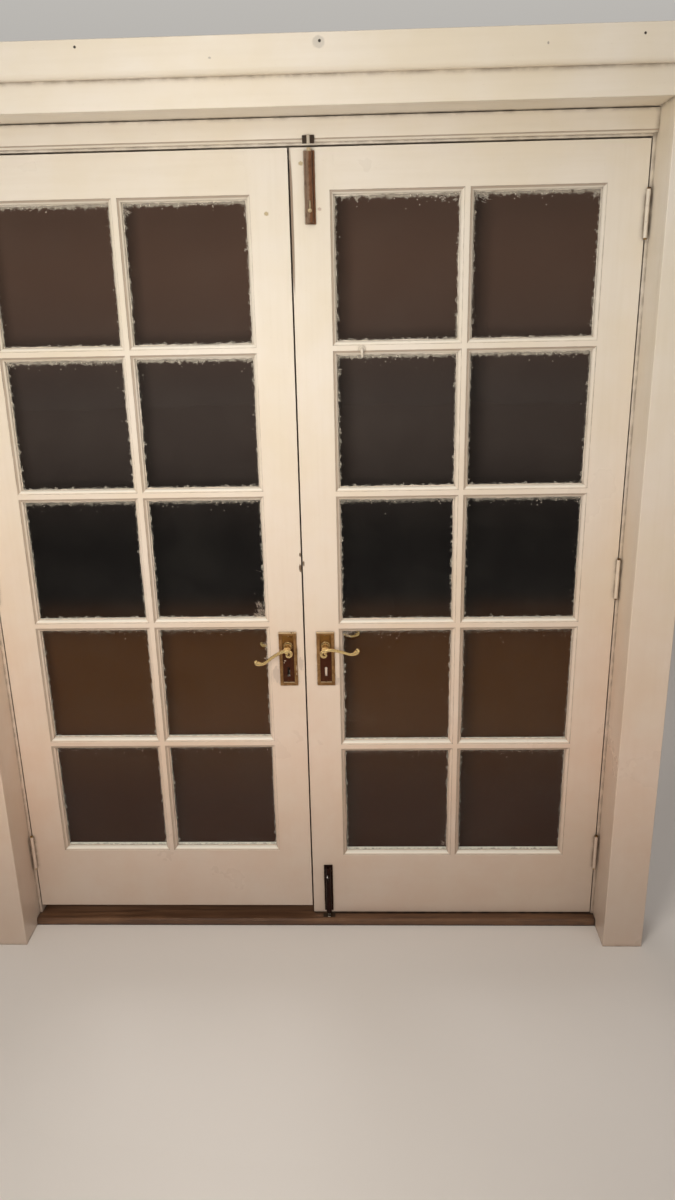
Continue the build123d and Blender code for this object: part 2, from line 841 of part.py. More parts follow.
spindle_ends = (-spindle_reach, leaf_thickness + spindle_reach)
finish(spindle_bar(left_plate_x, -left_lever_droop, spindle_size, *spindle_ends), "left_spindle")
finish(spindle_bar(right_plate_x, 0.0, spindle_size, *spindle_ends), "right_spindle")

# Mortice lock in the left leaf.
with BuildPart() as lock_case:
    lock_back = lock_front - lock_depth
    block(lock_back, lock_front, lock_low_y, lock_high_y, lock_bottom, lock_top)
    block(
        lock_back + lock_wall,
        lock_front,
        lock_low_y + lock_wall,
        lock_high_y - lock_wall,
        lock_bottom + lock_wall,
        lock_top - lock_wall,
        Mode.SUBTRACT,
    )
    through = (lock_low_y - 1, lock_high_y + 1)
    add(bore_along_y(left_plate_x, spindle_height, follower_radius - 1, *through), mode=Mode.SUBTRACT)
    add(keyhole(left_plate_x, *through), mode=Mode.SUBTRACT)
finish(lock_case.part, "left_lock_case")

with BuildPart() as faceplate:
    block(
        lock_front,
        -meeting_x,
        lock_mid_y - faceplate_width / 2,
        lock_mid_y + faceplate_width / 2,
        faceplate_bottom,
        faceplate_top,
    )
    add(bolt_hole(lock_front, -meeting_x, latch_middle, latch_height), mode=Mode.SUBTRACT)
    add(bolt_hole(lock_front, -meeting_x, dead_bolt_middle, dead_bolt_height), mode=Mode.SUBTRACT)
    cut_screws(faceplate_screw_places, small_screw)
finish(faceplate.part, "left_lock_faceplate")

finger_lean = left_lever_droop / 2
finger_tip_x = left_plate_x - finger_radius * math.sin(math.radians(finger_lean))
with BuildPart() as latch:
    latch_back = -meeting_x - latch_length
    half = latch_height / 2
    block(latch_back, -meeting_x, bolt_low_y, bolt_high_y, latch_middle - half, latch_middle + half)
    chamfer(latch.faces().sort_by(Axis.X)[-1].edges().sort_by(Axis.Y)[-1], 5.0, 8.0)
    tail_low = spindle_height + finger_radius - finger_gap - 2
    tail_y = latch_tail_thickness / 2
    block(
        latch_back - latch_tail_length,
        latch_back,
        lock_mid_y - tail_y,
        lock_mid_y + tail_y,
        tail_low,
        tail_low + latch_tail_height,
    )
    block(
        finger_tip_x - finger_width / 2 - finger_gap,
        finger_tip_x + finger_width / 2 + finger_gap,
        lock_mid_y - tail_y,
        lock_mid_y + tail_y,
        tail_low,
        spindle_height + finger_radius + finger_gap / 2,
        Mode.SUBTRACT,
    )
finish(latch.part, "left_latch_bolt")

with BuildPart() as follower:
    low_y = lock_low_y + lock_wall + bolt_gap
    high_y = lock_high_y - lock_wall - bolt_gap
    add(bore_along_y(left_plate_x, spindle_height, follower_radius, low_y, high_y))
    lean = math.radians(finger_lean)
    leaning = Plane(
        origin=(left_plate_x, lock_mid_y, spindle_height),
        x_dir=(math.cos(lean), 0, math.sin(lean)),
        z_dir=(0, -1, 0),
    )
    with BuildSketch(leaning):
        with Locations((0, finger_radius / 2 + 1)):
            Rectangle(finger_width, finger_radius - 2)
    extrude(amount=tail_y, both=True)
    add(spindle_bar(left_plate_x, -left_lever_droop, socket_size, low_y - 1, high_y + 1), mode=Mode.SUBTRACT)
finish(follower.part, "left_lock_follower")

with BuildPart() as dead_bolt:
    half = dead_bolt_height / 2
    dead_back = -meeting_x - dead_bolt_length
    block(dead_back, -meeting_x, bolt_low_y, bolt_high_y, dead_bolt_middle - half, dead_bolt_middle + half)
finish(dead_bolt.part, "left_dead_bolt")

with BuildPart() as strike:
    block(
        meeting_x,
        meeting_x + strike_thickness,
        lock_mid_y - faceplate_width / 2,
        lock_mid_y + faceplate_width / 2,
        strike_bottom,
        strike_top,
    )
    strike_back = meeting_x + strike_thickness
    add(bolt_hole(meeting_x, strike_back, latch_middle, latch_height), mode=Mode.SUBTRACT)
    add(bolt_hole(meeting_x, strike_back, dead_bolt_middle, dead_bolt_height), mode=Mode.SUBTRACT)
    cut_screws(strike_screw_places, small_screw)
finish(strike.part, "right_strike_plate")


# Barrel bolts: a flanged barrel with a slot for the knob, and a round rod that slides in it.
def bolt_barrel(low, knob_level, travel, name):
    barrel_low = low + barrel_end
    barrel_long = bolt_length - 2 * barrel_end
    slot_half = knob_neck_radius + knob_slot_gap
    with BuildPart() as barrel:
        half = bolt_plate_width / 2
        block(bolt_x - half, bolt_x + half, -bolt_plate_thickness, 0, low, low + bolt_length)
        with BuildSketch(Plane.XY.offset(barrel_low)):
            with Locations((bolt_x, -bolt_axis_depth)):
                Circle(barrel_radius)
            with Locations((bolt_x, -(bolt_axis_depth + bolt_plate_thickness) / 2)):
                Rectangle(2 * barrel_radius, bolt_axis_depth - bolt_plate_thickness)
        extrude(amount=barrel_long)
        with BuildSketch(Plane.XY.offset(barrel_low)):
            with Locations((bolt_x, -bolt_axis_depth)):
                Circle(rod_radius + rod_clearance)
        extrude(amount=barrel_long, mode=Mode.SUBTRACT)
        ends = sorted((knob_level, knob_level + travel))
        block(
            bolt_x - slot_half,
            bolt_x + slot_half,
            -bolt_axis_depth - barrel_radius - 1,
            -bolt_axis_depth,
            ends[0] - slot_half,
            ends[1] + slot_half,
            Mode.SUBTRACT,
        )
        cut_screws(bolt_screw_places(low), small_screw)
    finish(barrel.part, name)


def bolt_rod(rod_low, rod_high, knob_level, name):
    with BuildPart() as rod:
        with BuildSketch(Plane.XY.offset(rod_low)):
            with Locations((bolt_x, -bolt_axis_depth)):
                Circle(rod_radius)
        extrude(amount=rod_high - rod_low)
        chamfer(rod.edges().filter_by(GeomType.CIRCLE), 0.8)
        add(bore_along_y(bolt_x, knob_level, knob_neck_radius, -knob_centre_depth, -bolt_axis_depth))
        with Locations((bolt_x, -knob_centre_depth, knob_level)):
            Sphere(knob_radius)
    finish(rod.part, name)


top_knob = top_bolt_low + knob_from_end
bottom_knob = bottom_bolt_low + bolt_length - knob_from_end
bolt_barrel(top_bolt_low, top_knob, bolt_travel, "top_bolt_barrel")
bolt_barrel(bottom_bolt_low, bottom_knob, -bolt_travel, "bottom_bolt_barrel")
top_bolt_high = top_bolt_low + bolt_length
bolt_rod(top_bolt_low + rod_inset, top_bolt_high + rod_stick_out, top_knob, "top_bolt_rod")
bottom_bolt_high = bottom_bolt_low + bolt_length
bolt_rod(bottom_bolt_low - rod_stick_out, bottom_bolt_high - rod_inset, bottom_knob, "bottom_bolt_rod")

with BuildPart() as keeper:
    keeper_high = keeper_low + keeper_height
    half = keeper_width / 2
    keeper_front = -inner_casing_thickness - keeper_thickness
    block(bolt_x - half, bolt_x + half, keeper_front, -inner_casing_thickness, keeper_low, keeper_high)
    with BuildSketch(Plane.XY.offset(keeper_low)):
        with Locations((bolt_x, -bolt_axis_depth)):
            Circle(barrel_radius + 1)
    extrude(amount=keeper_height)
    block(
        bolt_x - half,
        bolt_x + half,
        -inner_casing_thickness,
        0,
        keeper_low,
        keeper_high,
        Mode.SUBTRACT,
    )
    with BuildSketch(Plane.XY.offset(keeper_low)):
        with Locations((bolt_x, -bolt_axis_depth)):
            Circle(rod_radius + keeper_clearance)
    extrude(amount=keeper_height, mode=Mode.SUBTRACT)
    cut_screws(keeper_screw_places, small_screw)
finish(keeper.part, "top_bolt_keeper")

with BuildPart() as socket_plate:
    block(
        bolt_x - socket_width / 2,
        bolt_x + socket_width / 2,
        socket_low_y,
        socket_high_y,
        plate_floor,
        threshold_height,
    )
    with BuildSketch(Plane.XY.offset(plate_floor)):
        with Locations((bolt_x, -bolt_axis_depth)):
            Circle(rod_radius + keeper_clearance)
    extrude(amount=bolt_plate_thickness, mode=Mode.SUBTRACT)
finish(socket_plate.part, "bottom_bolt_socket")

# The small painted hook on the first cross bar of the right leaf.
hook_level = leaf_top - top_rail_height - right_pane_height - bar_width / 2 - hook_below_middle
with BuildPart() as hook:
    add(bore_along_y(hook_x, hook_level, hook_plate_radius, -hook_plate_thickness, 0))
    with BuildLine() as wire:
        FilletPolyline(
            (hook_x, -hook_plate_thickness / 2, hook_level),
            (hook_x, -hook_reach, hook_level),
            (hook_x, -hook_reach, hook_level - hook_shank_drop),
            radius=hook_wire_radius * 1.5,
        )
    with BuildSketch(Plane(origin=wire.line @ 0, z_dir=wire.line % 0)):
        Circle(hook_wire_radius)
    sweep(path=wire.line)
    point_high = hook_level - hook_shank_drop
    with Locations((hook_x, -hook_reach, point_high - hook_point_length)):
        Cone(
            hook_point_radius,
            hook_wire_radius,
            hook_point_length,
            align=(Align.CENTER, Align.CENTER, Align.MIN),
        )
        Sphere(hook_point_radius)
finish(hook.part, "small_hook")

# Screws, one node for each body that carries them.
left_sets = [(hinge_screw_places(-1, False), wood_screw), (faceplate_screw_places, small_screw)]
right_sets = [(hinge_screw_places(1, False), wood_screw), (strike_screw_places, small_screw)]
for outside in (False, True):
    left_sets.append((plate_screw_places(left_plate_x, outside), wood_screw))
    right_sets.append((plate_screw_places(right_plate_x, outside), wood_screw))
for low in (top_bolt_low, bottom_bolt_low):
    right_sets.append((bolt_screw_places(low), small_screw))
frame_sets = [(hinge_screw_places(side, True), wood_screw) for side in (-1, 1)]
frame_sets.append((keeper_screw_places, small_screw))
screw_group("left_leaf_screws", left_sets)
screw_group("right_leaf_screws", right_sets)
screw_group("frame_screws", frame_sets)
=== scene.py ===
import math
import random

import bmesh
import bpy
from mathutils import Matrix, Vector, noise


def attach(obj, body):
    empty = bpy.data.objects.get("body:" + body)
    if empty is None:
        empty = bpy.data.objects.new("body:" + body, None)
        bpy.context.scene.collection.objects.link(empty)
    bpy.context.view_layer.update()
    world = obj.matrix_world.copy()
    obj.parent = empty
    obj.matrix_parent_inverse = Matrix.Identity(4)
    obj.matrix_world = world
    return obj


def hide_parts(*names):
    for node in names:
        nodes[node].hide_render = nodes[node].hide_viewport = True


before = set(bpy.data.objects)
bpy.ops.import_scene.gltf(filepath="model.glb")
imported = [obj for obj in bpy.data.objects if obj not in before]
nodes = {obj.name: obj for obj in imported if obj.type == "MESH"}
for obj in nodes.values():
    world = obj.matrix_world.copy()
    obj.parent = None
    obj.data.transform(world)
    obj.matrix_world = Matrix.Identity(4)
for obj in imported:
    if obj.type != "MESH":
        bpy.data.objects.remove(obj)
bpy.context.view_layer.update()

# Painted softwood of the frame, lining and casing.
# Old off-white gloss, brushed on by hand along each board over older coats. It has yellowed
# and has rubbed thin on the arrises. Its corners are darker, dirt and painted shade together,
# and it is painted darker and pinker lower down and greyer near the floor as painted shade.


def place(tree, kind, inputs=None, **settings):
    """Put one shader node in a tree, with each input set or wired."""
    made = tree.nodes.new("ShaderNode" + kind)
    for name, value in settings.items():
        setattr(made, name, value)
    for socket, value in (inputs or {}).items():
        if isinstance(value, bpy.types.NodeSocket):
            tree.links.new(value, made.inputs[socket])
        else:
            made.inputs[socket].default_value = value
    return made


def tint(tree, mask, under, over):
    """One colour laid over another where the mask says."""
    return place(tree, "Mix", {0: mask, 6: under, 7: over}, data_type="RGBA").outputs[2]


def sums(tree, operation, first, second=0.0, third=0.0, clamp=False):
    """One sum on values that are set or wired. Only MULTIPLY_ADD reads the third."""
    terms = {0: first, 1: second, 2: third}
    return place(tree, "Math", terms, operation=operation, use_clamp=clamp).outputs[0]


def between(tree, value, low, high, to_low=0.0, to_high=1.0):
    """A value spread smoothly from one range to another, held at the ends."""
    limits = {"Value": value, "From Min": low, "From Max": high, "To Min": to_low, "To Max": to_high}
    return place(tree, "MapRange", limits, interpolation_type="SMOOTHSTEP").outputs["Result"]


def cloudy(tree, spots, scale, detail, rough=0.5, twist=0.0):
    """A value from 0 to 1 that drifts over the surface in soft clouds."""
    clouds = {"Vector": spots, "Scale": scale, "Detail": detail, "Roughness": rough, "Distortion": twist}
    return place(tree, "TexNoise", clouds).outputs["Fac"]


def stretched(tree, spots, by):
    """The same places drawn out one way, so that a pattern runs along the piece."""
    return place(tree, "VectorMath", {0: spots, 1: by}, operation="MULTIPLY").outputs[0]


def new_effect(name, takes, gives):
    """An empty node group with named inputs and outputs, and its two end nodes."""
    group = bpy.data.node_groups.new(name, "ShaderNodeTree")
    for label, kind, value in takes:
        socket = group.interface.new_socket(label, in_out="INPUT", socket_type="NodeSocket" + kind)
        if value is not None:
            socket.default_value = value
    for label, kind in gives:
        group.interface.new_socket(label, in_out="OUTPUT", socket_type="NodeSocket" + kind)
    return group, group.nodes.new("NodeGroupInput").outputs, group.nodes.new("NodeGroupOutput").inputs


def use_effect(tree, effect, inputs):
    """Place one of the shared effects and give back what it puts out."""
    return place(tree, "Group", inputs, node_tree=effect).outputs


# Brush marks: strokes along the run, with slow sags and a fine orange peel.
brushing, asks, gives = new_effect(
    "brush_marks",
    [("Position", "Vector", None), ("Run", "Vector", (1.0, 1.0, 0.05)), ("Sag", "Float", 0.35)],
    [("Height", "Float"), ("Tone", "Float")],
)
strokes_at = stretched(brushing, asks["Position"], asks["Run"])
fine = cloudy(brushing, strokes_at, 420.0, 3.0)
broad = cloudy(brushing, strokes_at, 90.0, 2.0)
waves = cloudy(brushing, asks["Position"], 11.0, 2.0)
peel = cloudy(brushing, asks["Position"], 260.0, 1.0)
stroke = sums(brushing, "MULTIPLY_ADD", broad, 0.3, sums(brushing, "MULTIPLY", fine, 0.12))
skin = sums(brushing, "MULTIPLY_ADD", peel, 0.06, stroke)
sagged = sums(brushing, "MULTIPLY", sums(brushing, "MULTIPLY", waves, asks["Sag"]), 6.0)
brushing.links.new(sums(brushing, "ADD", skin, sagged), gives["Height"])
brushing.links.new(broad, gives["Tone"])

# Darkening that gathers in corners, in patches, from ambient occlusion: dirt and painted shade.
dirt_and_shade, asks, gives = new_effect(
    "dirt_and_shade_in_corners",
    [("Position", "Vector", None), ("Reach", "Float", 0.012), ("Low", "Float", 0.45)],
    [("Mask", "Float")],
)
hollow = place(dirt_and_shade, "AmbientOcclusion", {"Distance": asks["Reach"]}, samples=6)
deep = between(dirt_and_shade, hollow.outputs["AO"], 0.95, asks["Low"])
worn = between(dirt_and_shade, cloudy(dirt_and_shade, asks["Position"], 38.0, 4.0), 0.3, 0.65, 0.35, 1.0)
dirt_and_shade.links.new(sums(dirt_and_shade, "MULTIPLY", deep, worn), gives["Mask"])

# Edges eased round, and rubbed through in patches.
rubbed, asks, gives = new_effect(
    "rubbed_edges",
    [("Position", "Vector", None), ("Width", "Float", 0.0018), ("Patch", "Float", 55.0)],
    [("Mask", "Float"), ("Normal", "Vector")],
)
eased = place(rubbed, "Bevel", {"Radius": asks["Width"]}, samples=6).outputs[0]
true_face = place(rubbed, "NewGeometry").outputs["Normal"]
turned = place(rubbed, "VectorMath", {0: eased, 1: true_face}, operation="DOT_PRODUCT").outputs["Value"]
broken = between(rubbed, cloudy(rubbed, asks["Position"], asks["Patch"], 6.0), 0.54, 0.62)
rubbed.links.new(sums(rubbed, "MULTIPLY", between(rubbed, turned, 0.985, 0.9), broken), gives["Mask"])
rubbed.links.new(eased, gives["Normal"])

# One ragged spot, for a mark at a given place.
spot, asks, gives = new_effect(
    "spot",
    [
        ("Position", "Vector", None),
        ("Centre", "Vector", None),
        ("Size", "Vector", (0.01, 0.01, 0.01)),
        ("Ragged", "Float", 0.5),
        ("Fade", "Float", 0.3),
    ],
    [("Mask", "Float")],
)
off = place(spot, "VectorMath", {0: asks["Position"], 1: asks["Centre"]}, operation="SUBTRACT").outputs[0]
off = place(spot, "VectorMath", {0: off, 1: asks["Size"]}, operation="DIVIDE").outputs[0]
away = place(spot, "VectorMath", {0: off}, operation="LENGTH").outputs["Value"]
wander = sums(spot, "MULTIPLY", sums(spot, "SUBTRACT", cloudy(spot, off, 1.6, 4.0), 0.5), asks["Ragged"])
ragged = sums(spot, "MULTIPLY_ADD", wander, 2.0, away)
inner = sums(spot, "SUBTRACT", 1.0, asks["Fade"])
spot.links.new(between(spot, ragged, 1.0, inner), gives["Mask"])

along_x = (0.05, 1.0, 1.0)
along_z = (1.0, 1.0, 0.05)
fresh_paint = (0.800, 0.735, 0.640, 1.0)
yellow_paint = (0.765, 0.680, 0.540, 1.0)
# The next five colours are painted light: shade that is pinker lower down and greyer near the floor, a
# highlight and a shade for mouldings, and dirt with shade for corners.
painted_low_shade = (0.660, 0.420, 0.290, 1.0)
floor_shade = (0.270, 0.270, 0.255, 1.0)
painted_highlight = (0.860, 0.800, 0.690, 1.0)
shaded_paint = (0.320, 0.235, 0.170, 1.0)
corner_dirt_and_shade = (0.170, 0.120, 0.080, 1.0)
under_coat = (0.420, 0.350, 0.260, 1.0)
brush_streak = (0.680, 0.600, 0.470, 1.0)
grit = (0.450, 0.370, 0.270, 1.0)
# Heights where the painted shade starts, low down and near the floor.
low_shade_from = 1.9
floor_shade_from = 0.60


def new_finish(name):
    """A new material, with its node tree, its shader and the piece's own coordinates."""
    made = bpy.data.materials.new(name)
    made.use_nodes = True
    tree = made.node_tree
    return made, tree, tree.nodes["Principled BSDF"], place(tree, "TexCoord").outputs["Object"]


def cover(tree, shader, colour, rough, height, edges, strength, depth):
    """Wire a colour, a roughness and a relief over eased edges into a shader."""
    raised = {"Strength": strength, "Distance": depth, "Height": height, "Normal": edges["Normal"]}
    relief = place(tree, "Bump", raised).outputs[0]
    for socket, value in (("Base Color", colour), ("Roughness", rough), ("Normal", relief)):
        tree.links.new(value, shader.inputs[socket])


def paint(name, run, marks=(), wear=0.5, corner_darkening=0.75, arris=0.0016, painted_shading=0.0):
    """Old gloss paint brushed along run, with marks given as (centre, size, ragged, colour, sink).

    With painted shading, slopes that face up are painted paler as a painted highlight, and the
    first turn of a moulding down or to the right keeps a dark line of painted shade. All of it is
    darker and pinker lower down as painted shade, and darker in corners with dirt and shade.
    """
    made, tree, coat, spots = new_finish(name)
    brush = use_effect(tree, brushing, {"Position": spots, "Run": run})
    ageing = cloudy(tree, spots, 2.6, 5.0, 0.6)
    colour = tint(tree, between(tree, ageing, 0.35, 0.7), fresh_paint, yellow_paint)
    colour = tint(tree, between(tree, brush["Tone"], 0.35, 0.75, 0.0, 0.16), colour, brush_streak)
    # Painted shade: the paint grows darker and pinker from the top of the leaves downwards, in patches, and
    # greyer near the floor, for light that falls off lower down.
    height_up = place(tree, "SeparateXYZ", {0: spots}).outputs["Z"]
    shade_patches = between(tree, cloudy(tree, spots, 7.0, 6.0, 0.65), 0.3, 0.7, 0.68, 0.90)
    low_shade = between(tree, height_up, low_shade_from, 0.02, 0.0, 0.88)
    colour = tint(tree, sums(tree, "MULTIPLY", low_shade, shade_patches), colour, painted_low_shade)
    near_floor_shade = between(tree, height_up, floor_shade_from, 0.04, 0.0, 0.38)
    colour = tint(tree, near_floor_shade, colour, floor_shade)
    # Corners are darkened by ambient occlusion: dirt and painted shade together.
    corner_darkness = sums(tree, "MULTIPLY", use_effect(tree, dirt_and_shade, {"Position": spots})["Mask"], corner_darkening)
    colour = tint(tree, corner_darkness, colour, corner_dirt_and_shade)
    if painted_shading:
        # Painted highlight on slopes that face up; a painted shade line where a moulding turns down or
        # right.
        facing = place(tree, "SeparateXYZ", {0: place(tree, "TexCoord").outputs["Normal"]}).outputs
        colour = tint(tree, between(tree, facing["Z"], 0.12, 0.55, 0.0, 0.9), colour, painted_highlight)
        turned_off = sums(tree, "MAXIMUM", sums(tree, "MULTIPLY", facing["Z"], -1.0), facing["X"])
        line_starts = between(tree, turned_off, 0.03, 0.08, 0.0, painted_shading)
        line_ends = between(tree, turned_off, 0.62, 0.46)
        colour = tint(tree, sums(tree, "MULTIPLY", line_starts, line_ends), colour, shaded_paint)
    edges = use_effect(tree, rubbed, {"Position": spots, "Width": arris})
    thin = sums(tree, "MULTIPLY", edges["Mask"], wear)
    colour = tint(tree, thin, colour, under_coat)
    nibs = place(tree, "TexVoronoi", {"Vector": spots, "Scale": 130.0}, feature="F1").outputs
    chosen = between(tree, place(tree, "SeparateColor", {0: nibs["Color"]}).outputs[0], 0.90, 0.93)
    nib = sums(tree, "MULTIPLY", between(tree, nibs["Distance"], 0.16, 0.06), chosen)
    colour = tint(tree, sums(tree, "MULTIPLY", nib, 0.25), colour, grit)
    height = sums(tree, "MULTIPLY_ADD", nib, 0.25, brush["Height"])
    height = sums(tree, "SUBTRACT", height, sums(tree, "MULTIPLY", thin, 0.5))
    for centre, size, rag, shade, sink in marks:
        mark = use_effect(tree, spot, {"Position": spots, "Centre": centre, "Size": size, "Ragged": rag})
        colour = tint(tree, mark["Mask"], colour, shade)
        if sink:
            height = sums(tree, "SUBTRACT", height, sums(tree, "MULTIPLY", mark["Mask"], sink))
    dull = between(tree, ageing, 0.3, 0.7, 0.26, 0.40)
    dull = sums(tree, "MULTIPLY_ADD", corner_darkness, 0.3, dull, clamp=True)
    cover(tree, coat, colour, dull, height, edges, 0.6, 0.0004)
    return made


def finish_node(name, made):
    """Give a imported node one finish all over."""
    mesh = nodes[name].data
    mesh.materials.clear()
    mesh.materials.append(made)


board_paint = paint("board_paint", along_x)
post_paint = paint("post_paint", along_z)
for name in ("frame_head", "reveal_lining_head", "casing_fascia"):
    finish_node(name, board_paint)
for name in ("frame_jamb_left", "frame_jamb_right", "reveal_lining_left", "reveal_lining_right"):
    finish_node(name, post_paint)
for name in ("casing_leg_left", "casing_leg_right"):
    finish_node(name, post_paint)

# Cap board over the casing.
# A thick nosed softwood board, nailed through its face and painted with the rest. Old nail
# holes show along its top edge, one of them inside a filled patch. The dark in each hole is
# painted shade over a slight dip in the relief.
hole_shade = (0.030, 0.022, 0.016, 1.0)
filler = (0.60, 0.55, 0.47, 1.0)
nail_holes = [
    ((-0.880, -0.135, 2.176), (0.0030, 0.02, 0.0030), 0.3, hole_shade, 2.0),
    ((-0.409, -0.135, 2.176), (0.0032, 0.02, 0.0030), 0.3, hole_shade, 2.0),
    ((0.078, -0.135, 2.172), (0.0140, 0.02, 0.0130), 0.2, filler, 0.5),
    ((0.080, -0.135, 2.174), (0.0034, 0.02, 0.0034), 0.3, hole_shade, 2.0),
    ((0.718, -0.135, 2.170), (0.0030, 0.02, 0.0030), 0.3, hole_shade, 2.0),
    ((-0.140, -0.135, 2.150), (0.0034, 0.02, 0.0022), 0.6, (0.50, 0.45, 0.38, 1.0), 0.5),
    ((-0.660, -0.135, 2.150), (0.0030, 0.02, 0.0022), 0.6, (0.45, 0.40, 0.34, 1.0), 0.5),
    ((0.530, -0.135, 2.158), (0.0024, 0.02, 0.0030), 0.6, (0.42, 0.37, 0.31, 1.0), 0.5),
]
finish_node("casing_cap", paint("cap_paint", along_x, nail_holes, corner_darkening=0.5))

# Threshold.
# One piece of dark oiled hardwood under the leaves, worn along its nose by feet, and darker
# in its corners with dirt and painted shade together.
dark_grain = (0.070, 0.032, 0.016, 1.0)
pale_grain = (0.150, 0.075, 0.038, 1.0)
pores = (0.030, 0.015, 0.008, 1.0)
foot_worn = (0.260, 0.170, 0.100, 1.0)
trodden_dirt_and_shade = (0.020, 0.015, 0.012, 1.0)
hardwood, tree, wood, spots = new_finish("hardwood")
long_way = stretched(tree, spots, (0.06, 1.0, 1.0))
fibres = cloudy(tree, long_way, 300.0, 5.0, twist=0.4)
figure = cloudy(tree, long_way, 45.0, 3.0, twist=1.2)
colour = tint(tree, between(tree, figure, 0.3, 0.7), dark_grain, pale_grain)
colour = tint(tree, between(tree, fibres, 0.55, 0.75, 0.0, 0.7), colour, pores)
edges = use_effect(tree, rubbed, {"Position": spots, "Width": 0.004, "Patch": 30.0})
colour = tint(tree, sums(tree, "MULTIPLY", edges["Mask"], 0.8), colour, foot_worn)
# The threshold's corners are darkened the same way, dirt and painted shade together.
colour = tint(tree, use_effect(tree, dirt_and_shade, {"Position": spots})["Mask"], colour, trodden_dirt_and_shade)
cover(tree, wood, colour, between(tree, figure, 0.3, 0.7, 0.38, 0.6), fibres, edges, 0.5, 0.0004)
finish_node("threshold", hardwood)

# Timber of the two leaves.
# Mortised softwood: stiles, rails and moulded bars, painted in place, so each length is
# brushed its own way. Hands have darkened it near the levers, and the lock edge is chipped.
# The moulded inner casing over the leaves has the rails' finish. The mouldings carry painted
# highlights on slopes that face up and lines of painted shade where they turn down or right.
stain = (0.50, 0.40, 0.24, 1.0)
chip = (0.16, 0.10, 0.06, 1.0)
handled = (0.57, 0.450, 0.360, 1.0)
lock_marks = [
    ((-0.053, 0.0, 1.873), (0.006, 0.02, 0.005), 0.5, stain, 0.0),
    ((-0.0045, 0.0, 1.050), (0.0035, 0.02, 0.012), 0.5, chip, 1.5),
    ((-0.0040, 0.0, 1.085), (0.0025, 0.02, 0.006), 0.5, chip, 1.5),
    ((-0.0120, 0.0, 0.790), (0.009, 0.02, 0.020), 0.8, handled, 0.0),
    ((-0.0760, 0.0, 0.760), (0.012, 0.02, 0.026), 0.8, handled, 0.0),
]
bolt_stile_marks_and_shadow = [
    # A painted shadow of the left leaf's edge down the top of the meeting edge; the other marks are real.
    ((0.0040, 0.0, 1.850), (0.0042, 0.02, 0.170), 0.25, (0.300, 0.225, 0.165, 1.0), 0.4),
    ((0.066, 0.0, 1.880), (0.005, 0.02, 0.004), 0.5, handled, 0.0),
    ((0.027, 0.0, 1.973), (0.006, 0.02, 0.005), 0.6, stain, 0.3),
    ((0.079, 0.0, 0.742), (0.012, 0.02, 0.014), 0.8, handled, 0.0),
    ((0.0045, 0.0, 1.062), (0.0025, 0.02, 0.008), 0.5, chip, 1.0),
]
# Leaf timber takes full corner darkening and painted highlights and shade on its mouldings.
leaf_timber = {"corner_darkening": 1.0, "arris": 0.0005, "painted_shading": 0.75}
stile_paint = paint("stile_paint", along_z, wear=0.6, **leaf_timber)
rail_paint = paint("rail_paint", along_x, wear=0.6, **leaf_timber)
lock_stile_paint = paint("lock_stile_paint", along_z, lock_marks, wear=0.8, **leaf_timber)
bolt_stile_paint = paint("bolt_stile_paint", along_z, bolt_stile_marks_and_shadow, wear=0.8, **leaf_timber)
finish_node("inner_casing_head", rail_paint)
finish_node("left_meeting_stile", lock_stile_paint)
finish_node("right_meeting_stile", bolt_stile_paint)
for side in ("left", "right"):
    for part in ("hanging_stile", "vertical_bar"):
        finish_node(side + "_" + part, stile_paint)
    for part in ("top_rail", "bottom_rail", "cross_bars", "glazing_beads"):
        finish_node(side + "_" + part, rail_paint)

# Window glass.
# Ten 4 mm sheets a leaf, held from the garden side by beads. Old drawn glass, a little wavy,
# that mirrors the room only faintly, with dust and paint smears thickest along the edges.
half_gap = 0.002
pane_wide = 0.2805
pane_high = {"left": 0.3094, "right": 0.3138}
pane_top = {"left": 1.904, "right": 1.910}
bar_wide = 0.030
stile_wide = 0.096
first_pane_x = {"left": -0.689, "right": 0.098}
glass_front = 0.013
faint_mirror = 1.28
clear_green = (0.93, 0.97, 0.95, 1.0)
pane_dust = (0.62, 0.56, 0.46, 1.0)
pane_places = []
for side in ("left", "right"):
    for column in range(2):
        near = half_gap + stile_wide + column * (pane_wide + bar_wide)
        x_low = near if side == "right" else -near - pane_wide
        for row in range(5):
            z_high = pane_top[side] - row * (pane_high[side] + bar_wide)
            pane_places.append((side, x_low, x_low + pane_wide, z_high - pane_high[side], z_high))


